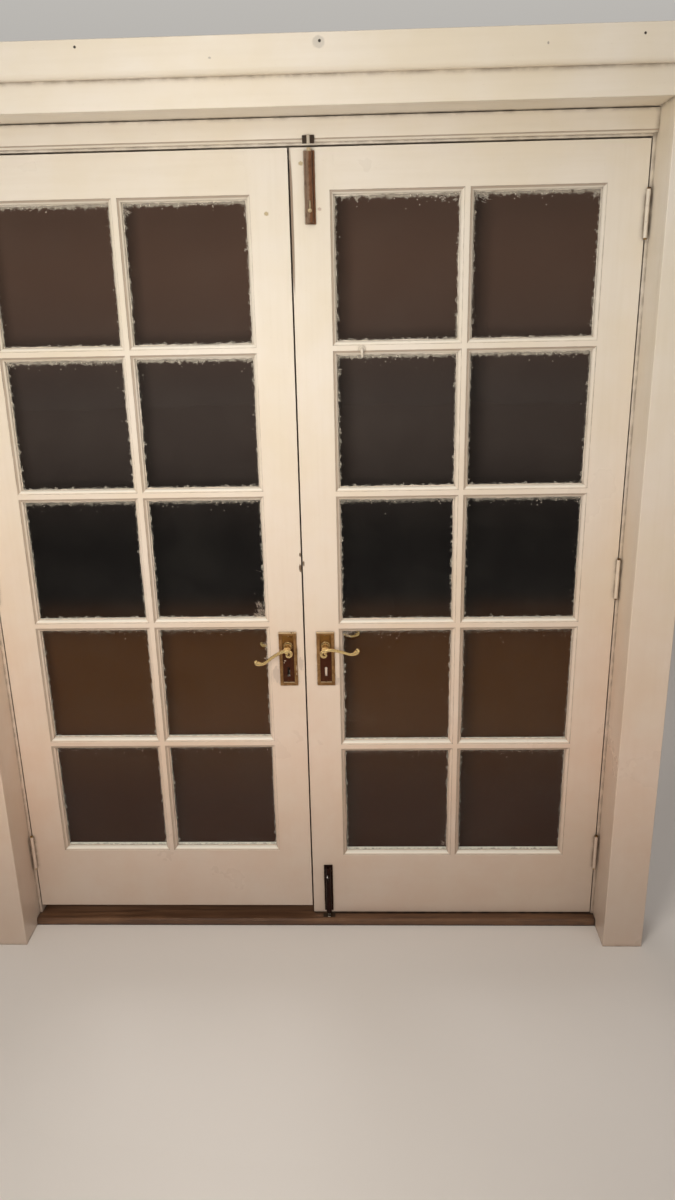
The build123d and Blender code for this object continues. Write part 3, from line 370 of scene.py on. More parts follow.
def glass(name, first_x, high, top):
    """Clear sheet, dusty all over and smeared along the edges and under the tops of its panes."""
    made, tree, sheet, spots = new_finish(name)
    sheet.inputs["Base Color"].default_value = clear_green
    sheet.inputs["Transmission Weight"].default_value = 1.0
    sheet.inputs["IOR"].default_value = faint_mirror
    sheet.inputs["Roughness"].default_value = 0.0
    across = place(tree, "SeparateXYZ", {0: spots}).outputs
    wave = {"Strength": 0.25, "Distance": 0.002, "Height": cloudy(tree, spots, 6.0, 1.0)}
    tree.links.new(place(tree, "Bump", wave).outputs[0], sheet.inputs["Normal"])
    step_x = sums(tree, "SUBTRACT", across["X"], first_x)
    step_z = sums(tree, "SUBTRACT", top, across["Z"])
    left_gap = sums(tree, "FLOORED_MODULO", step_x, pane_wide + bar_wide)
    high_gap = sums(tree, "FLOORED_MODULO", step_z, high + bar_wide)
    right_gap = sums(tree, "SUBTRACT", pane_wide, left_gap)
    low_gap = sums(tree, "SUBTRACT", high, high_gap)
    side_gap = sums(tree, "MINIMUM", left_gap, right_gap)
    edge_gap = sums(tree, "MINIMUM", side_gap, sums(tree, "MINIMUM", low_gap, high_gap))
    smear = sums(tree, "SUBTRACT", cloudy(tree, spots, 70.0, 8.0, 0.7), 0.5)
    wander = sums(tree, "MULTIPLY", smear, 0.04)
    near_edge = between(tree, sums(tree, "ADD", edge_gap, wander), 0.004, 0.0)
    near_top = between(tree, sums(tree, "ADD", high_gap, wander), 0.010, 0.005)
    near_top = sums(tree, "MULTIPLY", near_top, between(tree, across["Z"], 1.0, 1.5, 0.15, 1.0))
    haze = between(tree, cloudy(tree, spots, 9.0, 6.0), 0.35, 0.75, 0.0, 0.004)
    smeared = sums(tree, "MAXIMUM", near_edge, near_top)
    dusty = sums(tree, "MULTIPLY_ADD", smeared, 0.34, haze, clamp=True)
    dust = place(tree, "BsdfPrincipled", {"Base Color": pane_dust, "Roughness": 0.8})
    covered = place(tree, "MixShader", {0: dusty, 1: sheet.outputs[0], 2: dust.outputs[0]})
    shadows = place(tree, "LightPath").outputs["Is Shadow Ray"]
    clear = place(tree, "BsdfTransparent")
    through = place(tree, "MixShader", {0: shadows, 1: covered.outputs[0], 2: clear.outputs[0]})
    tree.links.new(through.outputs[0], tree.nodes["Material Output"].inputs["Surface"])
    return made


for side in ("left", "right"):
    made = glass(side + "_glass", first_pane_x[side], pane_high[side], pane_top[side])
    finish_node(side + "_panes", made)

# Paint laps on the glass.
# The bars were painted freehand, so a ragged skin of paint runs a few millimetres onto each
# pane on the room side, and flecks of it were scraped or dripped further in.
off_glass = 0.00002
skin_thick = 0.00035
fleck_thick = 0.00025
hair_thick = 0.00018


def lap_width(seed, along):
    """How far the paint runs onto the glass at one place, in metres."""
    slow = noise.noise(Vector((along * 9.0, seed, 0.0)))
    quick = noise.noise(Vector((along * 70.0, seed, 4.0)))
    sharp = noise.noise(Vector((along * 260.0, seed, 9.0)))
    return max(0.0004, 0.0016 + 0.0016 * slow + 0.0013 * quick + 0.0007 * sharp)


def lap_ring(mesh, x_low, x_high, z_low, z_high, seed):
    """One pane's skin of paint: a raised face, and a thin wall at its ragged inner edge."""
    tucked = 0.0006
    point_gap = 0.0022
    corner_fill = 0.004
    corner_inset = 0.003
    least_lap = 0.0003
    skin_front = glass_front - skin_thick
    skin_back = glass_front - off_glass
    corners = [(x_low, z_low), (x_high, z_low), (x_high, z_high), (x_low, z_high)]
    inward = [(0.0, 1.0), (-1.0, 0.0), (0.0, -1.0), (1.0, 0.0)]
    rings = []
    for turn in range(4):
        start, end = corners[turn], corners[(turn + 1) % 4]
        span = math.dist(start, end)
        count = int(span / point_gap)
        for step in range(count):
            share = step / count
            x = start[0] + (end[0] - start[0]) * share
            z = start[1] + (end[1] - start[1]) * share
            far = lap_width(seed + turn * 3.7, share * span)
            near_corner = min(share, 1 - share) * span
            far = max(far, corner_fill - near_corner)
            ix, iz = inward[turn]
            out_x, out_z = x - ix * tucked, z - iz * tucked
            in_x = min(max(x + ix * far, x_low + least_lap), x_high - least_lap)
            in_z = min(max(z + iz * far, z_low + least_lap), z_high - least_lap)
            if step == 0:
                previous = inward[turn - 1]
                out_x, out_z = x - (ix + previous[0]) * tucked, z - (iz + previous[1]) * tucked
                in_x = x + (ix + previous[0]) * corner_inset
                in_z = z + (iz + previous[1]) * corner_inset
            rings.append(
                (
                    mesh.verts.new((out_x, skin_front, out_z)),
                    mesh.verts.new((in_x, skin_front, in_z)),
                    mesh.verts.new((in_x, skin_back, in_z)),
                    mesh.verts.new((out_x, skin_back, out_z)),
                )
            )
    for here, after in zip(rings, rings[1:] + rings[:1]):
        for low, high in ((0, 1), (1, 2), (2, 3), (3, 0)):
            mesh.faces.new((here[low], here[high], after[high], after[low]))


def stuck_on(mesh, edge, thick):
    """A thin island of paint on the glass, from the (x, z) points of its edge."""
    tops = [mesh.verts.new((x, glass_front - thick, z)) for x, z in edge]
    bases = [mesh.verts.new((x, glass_front - off_glass, z)) for x, z in edge]
    mesh.faces.new(tops)
    mesh.faces.new(list(reversed(bases)))
    for step in range(len(edge)):
        after = (step + 1) % len(edge)
        mesh.faces.new((tops[step], bases[step], bases[after], tops[after]))


def fleck(mesh, x, z, size, chance):
    """A fleck of paint with an uneven rim."""
    count = 9
    stretch = chance.uniform(0.5, 1.0)
    lean = chance.uniform(0, math.pi)
    edge = []
    for step in range(count):
        angle = 2 * math.pi * step / count
        reach = size * chance.uniform(0.55, 1.0)
        u, v = reach * math.cos(angle), reach * stretch * math.sin(angle)
        dx = u * math.cos(lean) - v * math.sin(lean)
        dz = u * math.sin(lean) + v * math.cos(lean)
        edge.append((x + dx, z + dz))
    stuck_on(mesh, edge, fleck_thick)


def brush_hairs(mesh, x, z, way, length, count, chance):
    """The feathered end of a brush stroke: fine hairs of paint fanning out over the glass."""
    for _ in range(count):
        lean = way + chance.gauss(0.0, 0.35)
        reach = length * chance.uniform(0.35, 1.0)
        wide = chance.uniform(0.00014, 0.00036)
        start_x = x + chance.gauss(0.0, length * 0.3)
        start_z = z + chance.gauss(0.0, length * 0.3)
        bend = chance.uniform(-0.35, 0.35)
        left_side, right_side = [], []
        for share, half in ((0.0, 0.5), (0.3, 1.0), (0.65, 0.8), (1.0, 0.0)):
            turn = lean + bend * share
            hair_x = start_x + math.cos(turn) * reach * share
            hair_z = start_z + math.sin(turn) * reach * share
            side_x = math.sin(turn) * (wide * half)
            side_z = math.cos(turn) * (wide * half)
            left_side.append((hair_x - side_x, hair_z + side_z))
            right_side.append((hair_x + side_x, hair_z - side_z))
        stuck_on(mesh, left_side + right_side[-2::-1], hair_thick)


def new_object(name, mesh, made):
    """Turn a built mesh into an object with one finish."""
    data = bpy.data.meshes.new(name)
    mesh.to_mesh(data)
    mesh.free()
    data.materials.append(made)
    piece = bpy.data.objects.new(name, data)
    bpy.context.scene.collection.objects.link(piece)
    return piece


def make_piece(name, mesh, body, made, smooth=False):
    """Turn a built mesh into a piece that rides on a body and takes a finish."""
    bmesh.ops.recalc_face_normals(mesh, faces=mesh.faces)
    piece = new_object(name, mesh, made)
    for face in piece.data.polygons:
        face.use_smooth = smooth
    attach(piece, body)
    return piece


lap_paint = paint("lap_paint", along_z, wear=0.0, corner_darkening=0.2)
feathered = {
    "left": [
        (-0.107, 0.925, 2.3, 0.018, 60), (-0.112, 0.945, 2.0, 0.014, 40), (-0.120, 0.917, 2.7, 0.012, 30),
        (-0.372, 1.886, -0.7, 0.012, 26), (-0.101, 1.872, 2.6, 0.007, 14), (-0.102, 1.800, 2.9, 0.006, 10),
        (-0.101, 0.842, 2.5, 0.007, 16), (-0.102, 0.800, 2.8, 0.006, 10), (-0.682, 1.560, -0.8, 0.010, 18),
    ],
    "right": [
        (0.108, 0.868, -0.5, 0.012, 22), (0.118, 0.876, -1.0, 0.007, 14), (0.345, 1.900, 3.3, 0.010, 20),
        (0.370, 1.896, 3.6, 0.009, 16), (0.103, 1.530, -0.4, 0.007, 12), (0.680, 1.900, 3.6, 0.012, 22),
        (0.415, 1.902, -0.5, 0.014, 34), (0.430, 1.898, -0.3, 0.012, 24), (0.372, 0.240, 2.2, 0.010, 18),
    ],
}
top_flecks = 46
side_flecks = 16
for side, fleck_seed, hair_seed in (("left", 11, 5), ("right", 23, 6)):
    laps = bmesh.new()
    flecks = bmesh.new()
    chance = random.Random(fleck_seed)
    for index, (where, x_low, x_high, z_low, z_high) in enumerate(pane_places):
        if where != side:
            continue
        lap_ring(laps, x_low, x_high, z_low, z_high, index * 17.3)
        for _ in range(top_flecks):
            along = chance.uniform(x_low + 0.005, x_high - 0.005)
            down = 0.003 + chance.expovariate(1 / 0.006)
            fleck(flecks, along, z_high - min(down, 0.09), chance.uniform(0.0004, 0.0016), chance)
        for _ in range(side_flecks):
            inset = 0.003 + chance.expovariate(1 / 0.004)
            x = x_low + inset if chance.random() < 0.5 else x_high - inset
            z = chance.uniform(z_low + 0.01, z_high - 0.01)
            fleck(flecks, x, z, chance.uniform(0.0004, 0.0012), chance)
    hairs = random.Random(hair_seed)
    for x, z, way, length, count in feathered[side]:
        brush_hairs(flecks, x, z, way, length, count, hairs)
    make_piece(side + "_paint_laps", laps, side + "_leaf", lap_paint)
    make_piece(side + "_paint_flecks", flecks, side + "_leaf", lap_paint)

# Hinges, screws and the lock's works.
# Steel butts painted over with the door, brass pins, and bright lock parts in the stile. The
# screws of the top bolt's keeper are near black.
metal_dirt = (0.035, 0.022, 0.012, 1.0)


def metal(name, colour, tarnish, rough, spread, scale=60.0, worn_from=0.45, shine=1.0):
    """A metal with a dull film in patches, dirt in its hollows and eased edges."""
    made, tree, face, spots = new_finish(name)
    face.inputs["Metallic"].default_value = shine
    clouds = cloudy(tree, spots, scale, 7.0, 0.62)
    pits = cloudy(tree, spots, scale * 14, 2.0)
    dull = between(tree, clouds, worn_from, worn_from + 0.2)
    shade = tint(tree, dull, colour, tarnish)
    corner_darkness = use_effect(tree, dirt_and_shade, {"Position": spots, "Reach": 0.004})["Mask"]
    shade = tint(tree, sums(tree, "MULTIPLY", corner_darkness, 0.8), shade, metal_dirt)
    edges = use_effect(tree, rubbed, {"Position": spots, "Width": 0.0009})
    height = sums(tree, "MULTIPLY_ADD", pits, 0.3, dull)
    roughness = between(tree, clouds, 0.3, 0.7, rough, rough + spread)
    cover(tree, face, shade, roughness, height, edges, 0.35, 0.00015)
    return made


painted_metal = paint("painted_metal", along_z, wear=0.9)
bright_brass = metal(
    "bright_brass", (0.86, 0.63, 0.29, 1.0), (0.64, 0.43, 0.17, 1.0),
    0.15, 0.15, scale=40.0, worn_from=0.56, shine=0.9,
)
dull_brass = metal("dull_brass", (0.55, 0.36, 0.14, 1.0), (0.22, 0.12, 0.05, 1.0), 0.30, 0.3)
lock_steel = metal("lock_steel", (0.52, 0.50, 0.47, 1.0), (0.26, 0.22, 0.18, 1.0), 0.28, 0.3)
for side in ("left", "right"):
    finish_node(side + "_jamb_hinge_flaps", painted_metal)
    finish_node(side + "_leaf_hinge_flaps", painted_metal)
    finish_node(side + "_leaf_screws", dull_brass)
    finish_node(side + "_spindle", lock_steel)
finish_node("hinge_pins", dull_brass)
for name in ("left_lock_case", "left_lock_follower", "left_dead_bolt"):
    finish_node(name, lock_steel)
for name in ("left_lock_faceplate", "right_strike_plate", "left_latch_bolt"):
    finish_node(name, dull_brass)
near_black = (0.030, 0.020, 0.012, 1.0)
keeper_screws = [((0.0455, -0.010, 2.018), (0.03, 0.03, 0.03), 0.0, near_black, 0.0)]
finish_node("frame_screws", paint("frame_screw_paint", along_z, keeper_screws, wear=0.9))

# Lever plates.
# Pressed brass plates, two screws each, with a moulded border and a sunk panel. The lacquer
# has browned: the borders are rubbed bright and the panels are red-brown with golden cloud.
# A thin painted highlight runs along each plate's top edge and along its foot bead.
spindle_z = 0.842
plate_low = 0.731
plate_high = 0.879
plate_half = 0.023
plate_middle = 0.805
leaf_back = 0.044
panel_half_wide = 0.015
panel_half_high = 0.066
panel_edge = 0.0006
foot_bead_z = 0.7402
panel_red = (0.085, 0.024, 0.010, 1.0)
panel_gold = (0.300, 0.145, 0.035, 1.0)
panel_streak = (0.050, 0.018, 0.009, 1.0)
border_bright = (0.470, 0.265, 0.105, 1.0)
border_dull = (0.270, 0.135, 0.050, 1.0)
plate_dirt = (0.030, 0.014, 0.008, 1.0)
rubbed_bright = (0.860, 0.660, 0.360, 1.0)
rim_highlight = (0.880, 0.680, 0.420, 1.0)
worn_pale = (0.780, 0.620, 0.460, 1.0)


def plate_metal(name, centre_x, worn_marks=()):
    """Browned brass: a brighter border round a streaked red panel that is golden at its top."""
    made, tree, face, spots = new_finish(name)
    face.inputs["Metallic"].default_value = 0.7
    across = place(tree, "SeparateXYZ", {0: spots}).outputs
    from_middle = sums(tree, "ABSOLUTE", sums(tree, "SUBTRACT", across["X"], centre_x))
    from_level = sums(tree, "ABSOLUTE", sums(tree, "SUBTRACT", across["Z"], plate_middle))
    on_side = between(tree, from_middle, panel_half_wide - panel_edge, panel_half_wide + panel_edge)
    on_end = between(tree, from_level, panel_half_high - panel_edge, panel_half_high + panel_edge)
    clouds = cloudy(tree, spots, 48.0, 8.0, 0.66)
    streaks = cloudy(tree, stretched(tree, spots, (1.0, 1.0, 0.18)), 150.0, 4.0)
    upper = between(tree, across["Z"], 0.800, 0.872)
    golden = between(tree, sums(tree, "MULTIPLY_ADD", upper, 0.30, clouds), 0.50, 0.86)
    panel = tint(tree, golden, panel_red, panel_gold)
    panel = tint(tree, between(tree, streaks, 0.5, 0.75, 0.0, 0.5), panel, panel_streak)
    border = tint(tree, between(tree, clouds, 0.35, 0.65), border_bright, border_dull)
    shade = tint(tree, sums(tree, "MAXIMUM", on_side, on_end), panel, border)
    corner_darkness = use_effect(tree, dirt_and_shade, {"Position": spots, "Reach": 0.005})["Mask"]
    shade = tint(tree, sums(tree, "MULTIPLY", corner_darkness, 0.85), shade, plate_dirt)
    edges = use_effect(tree, rubbed, {"Position": spots, "Width": 0.0010, "Patch": 70.0})
    shade = tint(tree, edges["Mask"], shade, rubbed_bright)
    # Painted highlights: thin bright lines along the top edge and along the bead at the foot.
    top_highlight = between(tree, across["Z"], 0.8755, 0.8768)
    foot_rise = sums(tree, "ABSOLUTE", sums(tree, "SUBTRACT", across["Z"], foot_bead_z))
    foot_highlight = between(tree, foot_rise, 0.0012, 0.0004)
    foot_highlight = sums(tree, "MULTIPLY", foot_highlight, between(tree, from_middle, 0.0150, 0.0140))
    highlights = sums(tree, "MAXIMUM", top_highlight, foot_highlight)
    highlights = sums(tree, "MULTIPLY", highlights, between(tree, clouds, 0.3, 0.55, 0.4, 0.9))
    shade = tint(tree, highlights, shade, rim_highlight)
    for centre, size in worn_marks:
        mark = use_effect(tree, spot, {"Position": spots, "Centre": centre, "Size": size, "Ragged": 0.9})
        shade = tint(tree, mark["Mask"], shade, worn_pale)
    cover(tree, face, shade, between(tree, clouds, 0.3, 0.7, 0.26, 0.46), clouds, edges, 0.4, 0.0002)
    return made


def join_rings(mesh, rings, closed):
    """Skin rings of points into a tube, either joined end to end or capped."""
    steps = len(rings[0])
    pairs = list(zip(rings, rings[1:]))
    if closed:
        pairs.append((rings[-1], rings[0]))
    for low, high in pairs:
        for step in range(steps):
            after = (step + 1) % steps
            mesh.faces.new((low[step], low[after], high[after], high[step]))
    if not closed:
        mesh.faces.new(rings[0])
        mesh.faces.new(list(reversed(rings[-1])))


def turned_ring(mesh, centre, outward, profile, steps=48, closed=True):
    """Turn a profile of (radius, height) round the Y axis through centre; height runs outward."""
    rings = []
    for radius, height in profile:
        ring = []
        for step in range(steps):
            angle = 2 * math.pi * step / steps
            x = centre[0] + radius * math.cos(angle)
            z = centre[2] + radius * math.sin(angle)
            ring.append(mesh.verts.new((x, centre[1] + outward * height, z)))
        rings.append(ring)
    join_rings(mesh, rings, closed)


def border_moulding(mesh, centre_x, face_y, outward):
    """A rounded bead mitred round the plate, just inside its rim."""
    profile = [
        (0.0032, 0.0018), (0.0032, 0.0038), (0.0034, 0.0043), (0.0038, 0.0045), (0.0044, 0.0043),
        (0.0050, 0.0039), (0.0058, 0.0036), (0.0066, 0.0034), (0.0074, 0.0030), (0.0078, 0.0032),
        (0.0082, 0.0031), (0.0086, 0.0026), (0.0087, 0.0018),
    ]
    corners = []
    for along, up in ((-1, -1), (1, -1), (1, 1), (-1, 1)):
        line = []
        for inset, height in profile:
            x = centre_x + along * (plate_half - inset)
            z = (plate_high - inset) if up > 0 else (plate_low + inset)
            line.append(mesh.verts.new((x, face_y + outward * height, z)))
        corners.append(line)
    for turn in range(4):
        here, after = corners[turn], corners[(turn + 1) % 4]
        for step in range(len(profile)):
            beyond = (step + 1) % len(profile)
            mesh.faces.new((here[step], here[beyond], after[beyond], after[step]))


def slotted_head(mesh, centre, outward, radius, dome, slot_angle):
    """A domed screw head standing on the plate, with its slot cut across."""
    rim_share = 0.25
    slot_share = 0.13
    for half in (-1, 1):
        piece = bmesh.new()
        profile = [(radius, 0.0), (radius, dome * rim_share)]
        for step in range(1, 7):
            angle = step / 7 * math.pi / 2
            height = dome * (rim_share + (1 - rim_share) * math.sin(angle))
            profile.append((radius * math.cos(angle), height))
        turned_ring(piece, (0.0, 0.0, 0.0), 1.0, profile, steps=32, closed=False)
        cut = bmesh.ops.bisect_plane(
            piece,
            geom=piece.verts[:] + piece.edges[:] + piece.faces[:],
            plane_co=(half * radius * slot_share, 0.0, 0.0),
            plane_no=(half, 0.0, 0.0),
            clear_inner=True,
        )
        rim = [part for part in cut["geom_cut"] if isinstance(part, bmesh.types.BMEdge)]
        bmesh.ops.edgeloop_fill(piece, edges=rim)
        turn = Matrix.Rotation(slot_angle, 4, "Y")
        flip = Matrix.Scale(outward, 4, (0.0, 1.0, 0.0))
        piece.transform(Matrix.Translation(centre) @ turn @ flip)
        scratch = bpy.data.meshes.new("half_head")
        piece.to_mesh(scratch)
        piece.free()
        mesh.from_mesh(scratch)
        bpy.data.meshes.remove(scratch)


plate_centres = {"left": -0.0435, "right": 0.054}
left_wear = [
    ((-0.0222, 0.0, 0.781), (0.0012, 0.02, 0.0085)), ((-0.0520, 0.0, 0.8005), (0.0030, 0.02, 0.0020)),
    ((-0.0228, 0.0, 0.764), (0.0010, 0.02, 0.0040)), ((-0.0545, 0.0, 0.7950), (0.0016, 0.02, 0.0016)),
]
collar_profile = [
    (0.0090, 0.0036), (0.0090, 0.0054), (0.0094, 0.0061), (0.0101, 0.0063), (0.0109, 0.0060),
    (0.0114, 0.0052), (0.0116, 0.0041), (0.0123, 0.0033), (0.0125, 0.0019), (0.0112, 0.0019),
]
screw_inset = 0.0086
plate_thick = 0.0020
plate_screw_radius = 0.0036
plate_screw_dome = 0.0013
for side, centre_x in plate_centres.items():
    browned_brass = plate_metal(side + "_plate_brass", centre_x, left_wear if side == "left" else ())
    for face_name, face_y, outward in (("inner", 0.0, -1), ("outer", leaf_back, 1)):
        node_name = side + "_" + face_name + "_plate"
        finish_node(node_name, browned_brass)
        beads = bmesh.new()
        border_moulding(beads, centre_x, face_y, outward)
        make_piece(node_name + "_moulding", beads, side + "_leaf", browned_brass, True)
        ring = bmesh.new()
        turned_ring(ring, (centre_x, face_y, spindle_z), outward, collar_profile)
        make_piece(node_name + "_collar", ring, side + "_leaf", bright_brass, True)
        heads = bmesh.new()
        for z, angle in ((plate_low + screw_inset, 0.5), (plate_high - screw_inset, 1.9)):
            at = (centre_x, face_y + outward * plate_thick, z)
            slotted_head(heads, at, outward, plate_screw_radius, plate_screw_dome, angle)
        make_piece(node_name + "_screw_heads", heads, side + "_leaf", browned_brass)

# Levers.
# Cast brass scroll levers on a turned neck. The arm springs from a tight curl under the hub,
# dips along its length and rolls up into a small knob at its tip. The left pair droops on a
# tired spring.
arm_line = [
    (-0.0008, -0.0068, 0.0024), (0.0026, -0.0072, 0.0027), (0.0034, -0.0114, 0.0030),
    (-0.0008, -0.0146, 0.0034), (-0.0066, -0.0130, 0.0038), (-0.0092, -0.0074, 0.0041),
    (-0.0066, -0.0014, 0.0044), (0.0000, 0.0022, 0.0046), (0.0080, 0.0036, 0.0044),
    (0.0175, 0.0038, 0.0042), (0.0300, 0.0016, 0.0039), (0.0440, -0.0016, 0.0037),
    (0.0550, -0.0054, 0.0037), (0.0640, -0.0078, 0.0038), (0.0706, -0.0078, 0.0042),
    (0.0758, -0.0060, 0.0052), (0.0802, -0.0030, 0.0065), (0.0832, 0.0002, 0.0062),
    (0.0840, 0.0034, 0.0046), (0.0816, 0.0052, 0.0030),
]
neck_profile = [
    (0.0040, 0.0004), (0.0084, 0.0004), (0.0084, 0.0060), (0.0092, 0.0068), (0.0095, 0.0085),
    (0.0092, 0.0104), (0.0080, 0.0118), (0.0074, 0.0136), (0.0073, 0.0160), (0.0078, 0.0186),
    (0.0086, 0.0212), (0.0091, 0.0250), (0.0092, 0.0300), (0.0089, 0.0350), (0.0082, 0.0395),
    (0.0074, 0.0430), (0.0062, 0.0462), (0.0044, 0.0482), (0.0020, 0.0490),
]
lever_out = 0.045
arm_deeper = 1.12
left_droop = 21.0


def smooth_line(points, per_span=6):
    """Points along a smooth curve through every given point, widths with them."""
    line = []
    ends = [points[0]] + list(points) + [points[-1]]
    for index in range(1, len(ends) - 2):
        a, b, c, d = (Vector(ends[index + shift]) for shift in (-1, 0, 1, 2))
        for step in range(per_span):
            t = step / per_span
            bend = (2 * a - 5 * b + 4 * c - d) * t**2
            twist = (3 * b - a - 3 * c + d) * t**3
            line.append(0.5 * (2 * b + (c - a) * t + bend + twist))
    line.append(Vector(points[-1]))
    return line


def domed_end(tip, way, shares):
    """Points past the tip of a bar that close it to a dome, the width as their third value."""
    line = []
    for share in shares:
        along = tip + way * tip.z * share
        line.append(Vector((along.x, along.y, tip.z * math.sqrt(1 - share**2))))
    return line


def scroll_arm(mesh, centre_x, side_way, face_y, outward, droop):
    """The arm: a round bar of changing width along the scroll line, closed with round ends."""
    line = smooth_line(arm_line)
    start = domed_end(line[0], (line[0] - line[1]).normalized(), (0.95, 0.8, 0.5))
    end = domed_end(line[-1], (line[-1] - line[-2]).normalized(), (0.5, 0.8, 0.95))
    rounded = start + line + end
    rings = []
    turn = math.radians(droop)
    steps = 20
    for index, point in enumerate(rounded):
        ahead = rounded[min(index + 1, len(rounded) - 1)]
        behind = rounded[max(index - 1, 0)]
        way = Vector((ahead.x - behind.x, ahead.y - behind.y)).normalized()
        ring = []
        for step in range(steps):
            angle = 2 * math.pi * step / steps
            along = point.x - way.y * point.z * math.cos(angle)
            rise = point.y + way.x * point.z * math.cos(angle)
            depth = lever_out + point.z * arm_deeper * math.sin(angle)
            x = centre_x + side_way * (along * math.cos(turn) + rise * math.sin(turn))
            z = spindle_z + rise * math.cos(turn) - along * math.sin(turn)
            ring.append(mesh.verts.new((x, face_y + outward * depth, z)))
        rings.append(ring)
    join_rings(mesh, rings, False)


for side, side_way, droop in (("left", -1, left_droop), ("right", 1, 0.0)):
    for face_name, face_y, outward in (("inner", 0.0, -1), ("outer", leaf_back, 1)):
        handle = bmesh.new()
        scroll_arm(handle, plate_centres[side], side_way, face_y, outward, droop)
        centre = (plate_centres[side], face_y, spindle_z)
        turned_ring(handle, centre, outward, neck_profile, closed=False)
        node_name = side + "_" + face_name + "_lever"
        lever = make_piece(node_name + "_scroll", handle, side + "_lever", bright_brass, True)
        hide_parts(node_name)

# Barrel bolts on the right leaf, their keeper and their floor socket.
# Slotted brass barrels on flanged plates. The top one has gone taupe and red-brown under old
# lacquer round a bright rod, lighter on its left and darker red-brown on its right as painted
# light and shade. The bottom one is nearly black, but for a painted glint on its knob.
bolt_x = 0.0455
bolt_long = 0.149
lacquer_brown = (0.050, 0.028, 0.016, 1.0)
bolt_dirt = (0.012, 0.008, 0.006, 1.0)
staple_highlight_colour = (0.580, 0.510, 0.410, 1.0)
# The colour and place of a painted glint on the bottom bolt's knob.
knob_glint = (0.860, 0.820, 0.800, 1.0)
knob_glint_at = (0.0432, -0.03, 0.1554)


def bolt_metal(name, left_tone_and_light, right_tone_and_shade, rub, rough):
    """Lacquered brass gone dark, a colour each side of the barrel to carry painted light and shade."""
    made, tree, face, spots = new_finish(name)
    face.inputs["Metallic"].default_value = 0.35
    across = place(tree, "SeparateXYZ", {0: spots}).outputs["X"]
    clouds = cloudy(tree, spots, 55.0, 7.0, 0.65)
    wander = sums(tree, "MULTIPLY", sums(tree, "SUBTRACT", clouds, 0.5), 0.006)
    to_right = between(tree, sums(tree, "ADD", across, wander), bolt_x - 0.002, bolt_x + 0.001)
    shade = tint(tree, to_right, left_tone_and_light, right_tone_and_shade)
    shade = tint(tree, between(tree, clouds, 0.5, 0.75, 0.0, 0.6), shade, lacquer_brown)
    corner_darkness = use_effect(tree, dirt_and_shade, {"Position": spots, "Reach": 0.004})["Mask"]
    shade = tint(tree, sums(tree, "MULTIPLY", corner_darkness, 0.85), shade, bolt_dirt)
    edges = use_effect(tree, rubbed, {"Position": spots, "Width": 0.0007, "Patch": 80.0})
    shade = tint(tree, sums(tree, "MULTIPLY", edges["Mask"], 0.7), shade, rub)
    roughness = between(tree, clouds, 0.3, 0.7, rough, rough + 0.2)
    cover(tree, face, shade, roughness, clouds, edges, 0.4, 0.0002)
    return made


def tint_over(made, mask, shade):
    """Lay one more colour over a finished metal where the mask says."""
    tree = made.node_tree
    colour_in = tree.nodes["Principled BSDF"].inputs["Base Color"]
    tree.links.new(tint(tree, mask, colour_in.links[0].from_socket, shade), colour_in)


# The top barrel's colours are painted light on its left and painted shade on its right.
top_metal = bolt_metal(
    "top_bolt_metal", (0.270, 0.180, 0.120, 1.0), (0.200, 0.088, 0.040, 1.0), (0.56, 0.40, 0.22, 1.0), 0.36
)
low_metal = bolt_metal(
    "low_bolt_metal", (0.014, 0.004, 0.003, 1.0), (0.018, 0.005, 0.003, 1.0), (0.12, 0.06, 0.04, 1.0), 0.26
)
staple_metal = bolt_metal(
    "staple_metal", (0.045, 0.028, 0.016, 1.0), (0.040, 0.022, 0.012, 1.0), (0.30, 0.22, 0.13, 1.0), 0.34
)
# A painted highlight down the middle of the keeper's rounded loop, and of the floor socket.
tree = staple_metal.node_tree
spots = place(tree, "TexCoord").outputs["Object"]
across = sums(tree, "SUBTRACT", place(tree, "SeparateXYZ", {0: spots}).outputs["X"], bolt_x)
keeper_highlight = between(tree, sums(tree, "ABSOLUTE", across), 0.0040, 0.0026)
tint_over(staple_metal, keeper_highlight, staple_highlight_colour)
finish_node("top_bolt_barrel", top_metal)
finish_node("bottom_bolt_barrel", low_metal)
finish_node("top_bolt_keeper", staple_metal)
finish_node("bottom_bolt_socket", staple_metal)
rod_brass = metal(
    "rod_brass", (0.74, 0.60, 0.38, 1.0), (0.34, 0.24, 0.13, 1.0), 0.2, 0.2, worn_from=0.5, shine=0.6
)
finish_node("top_bolt_rod", rod_brass)
rod_black = metal("rod_black", (0.030, 0.020, 0.016, 1.0), (0.014, 0.009, 0.007, 1.0), 0.10, 0.1, shine=0.2)
for blackened in (low_metal, rod_black):
    blackened.node_tree.nodes["Principled BSDF"].inputs["Specular IOR Level"].default_value = 0.15
# A painted glint on the bottom bolt's knob.
tree = rod_black.node_tree
spots = place(tree, "TexCoord").outputs["Object"]
glint_spot = use_effect(tree, spot, {"Position": spots, "Centre": knob_glint_at, "Size": (0.0015, 0.03, 0.0021)})
tint_over(rod_black, glint_spot["Mask"], knob_glint)
finish_node("bottom_bolt_rod", rod_black)
flange_front = -0.0020
screw_aside = 0.0094
bolt_screw_radius = 0.0023
bolt_screw_dome = 0.0009
for end_name, low, made in (("top_bolt", 1.849, top_metal), ("bottom_bolt", 0.031, low_metal)):
    heads = bmesh.new()
    for way in (-1, 1):
        for up in (bolt_long * 0.12, bolt_long * 0.88):
            at = (bolt_x + way * screw_aside, flange_front, low + up)
            slot_angle = 0.7 + 90 * way * up
            slotted_head(heads, at, -1, bolt_screw_radius, bolt_screw_dome, slot_angle)
    make_piece(end_name + "_screw_heads", heads, "right_leaf", made)

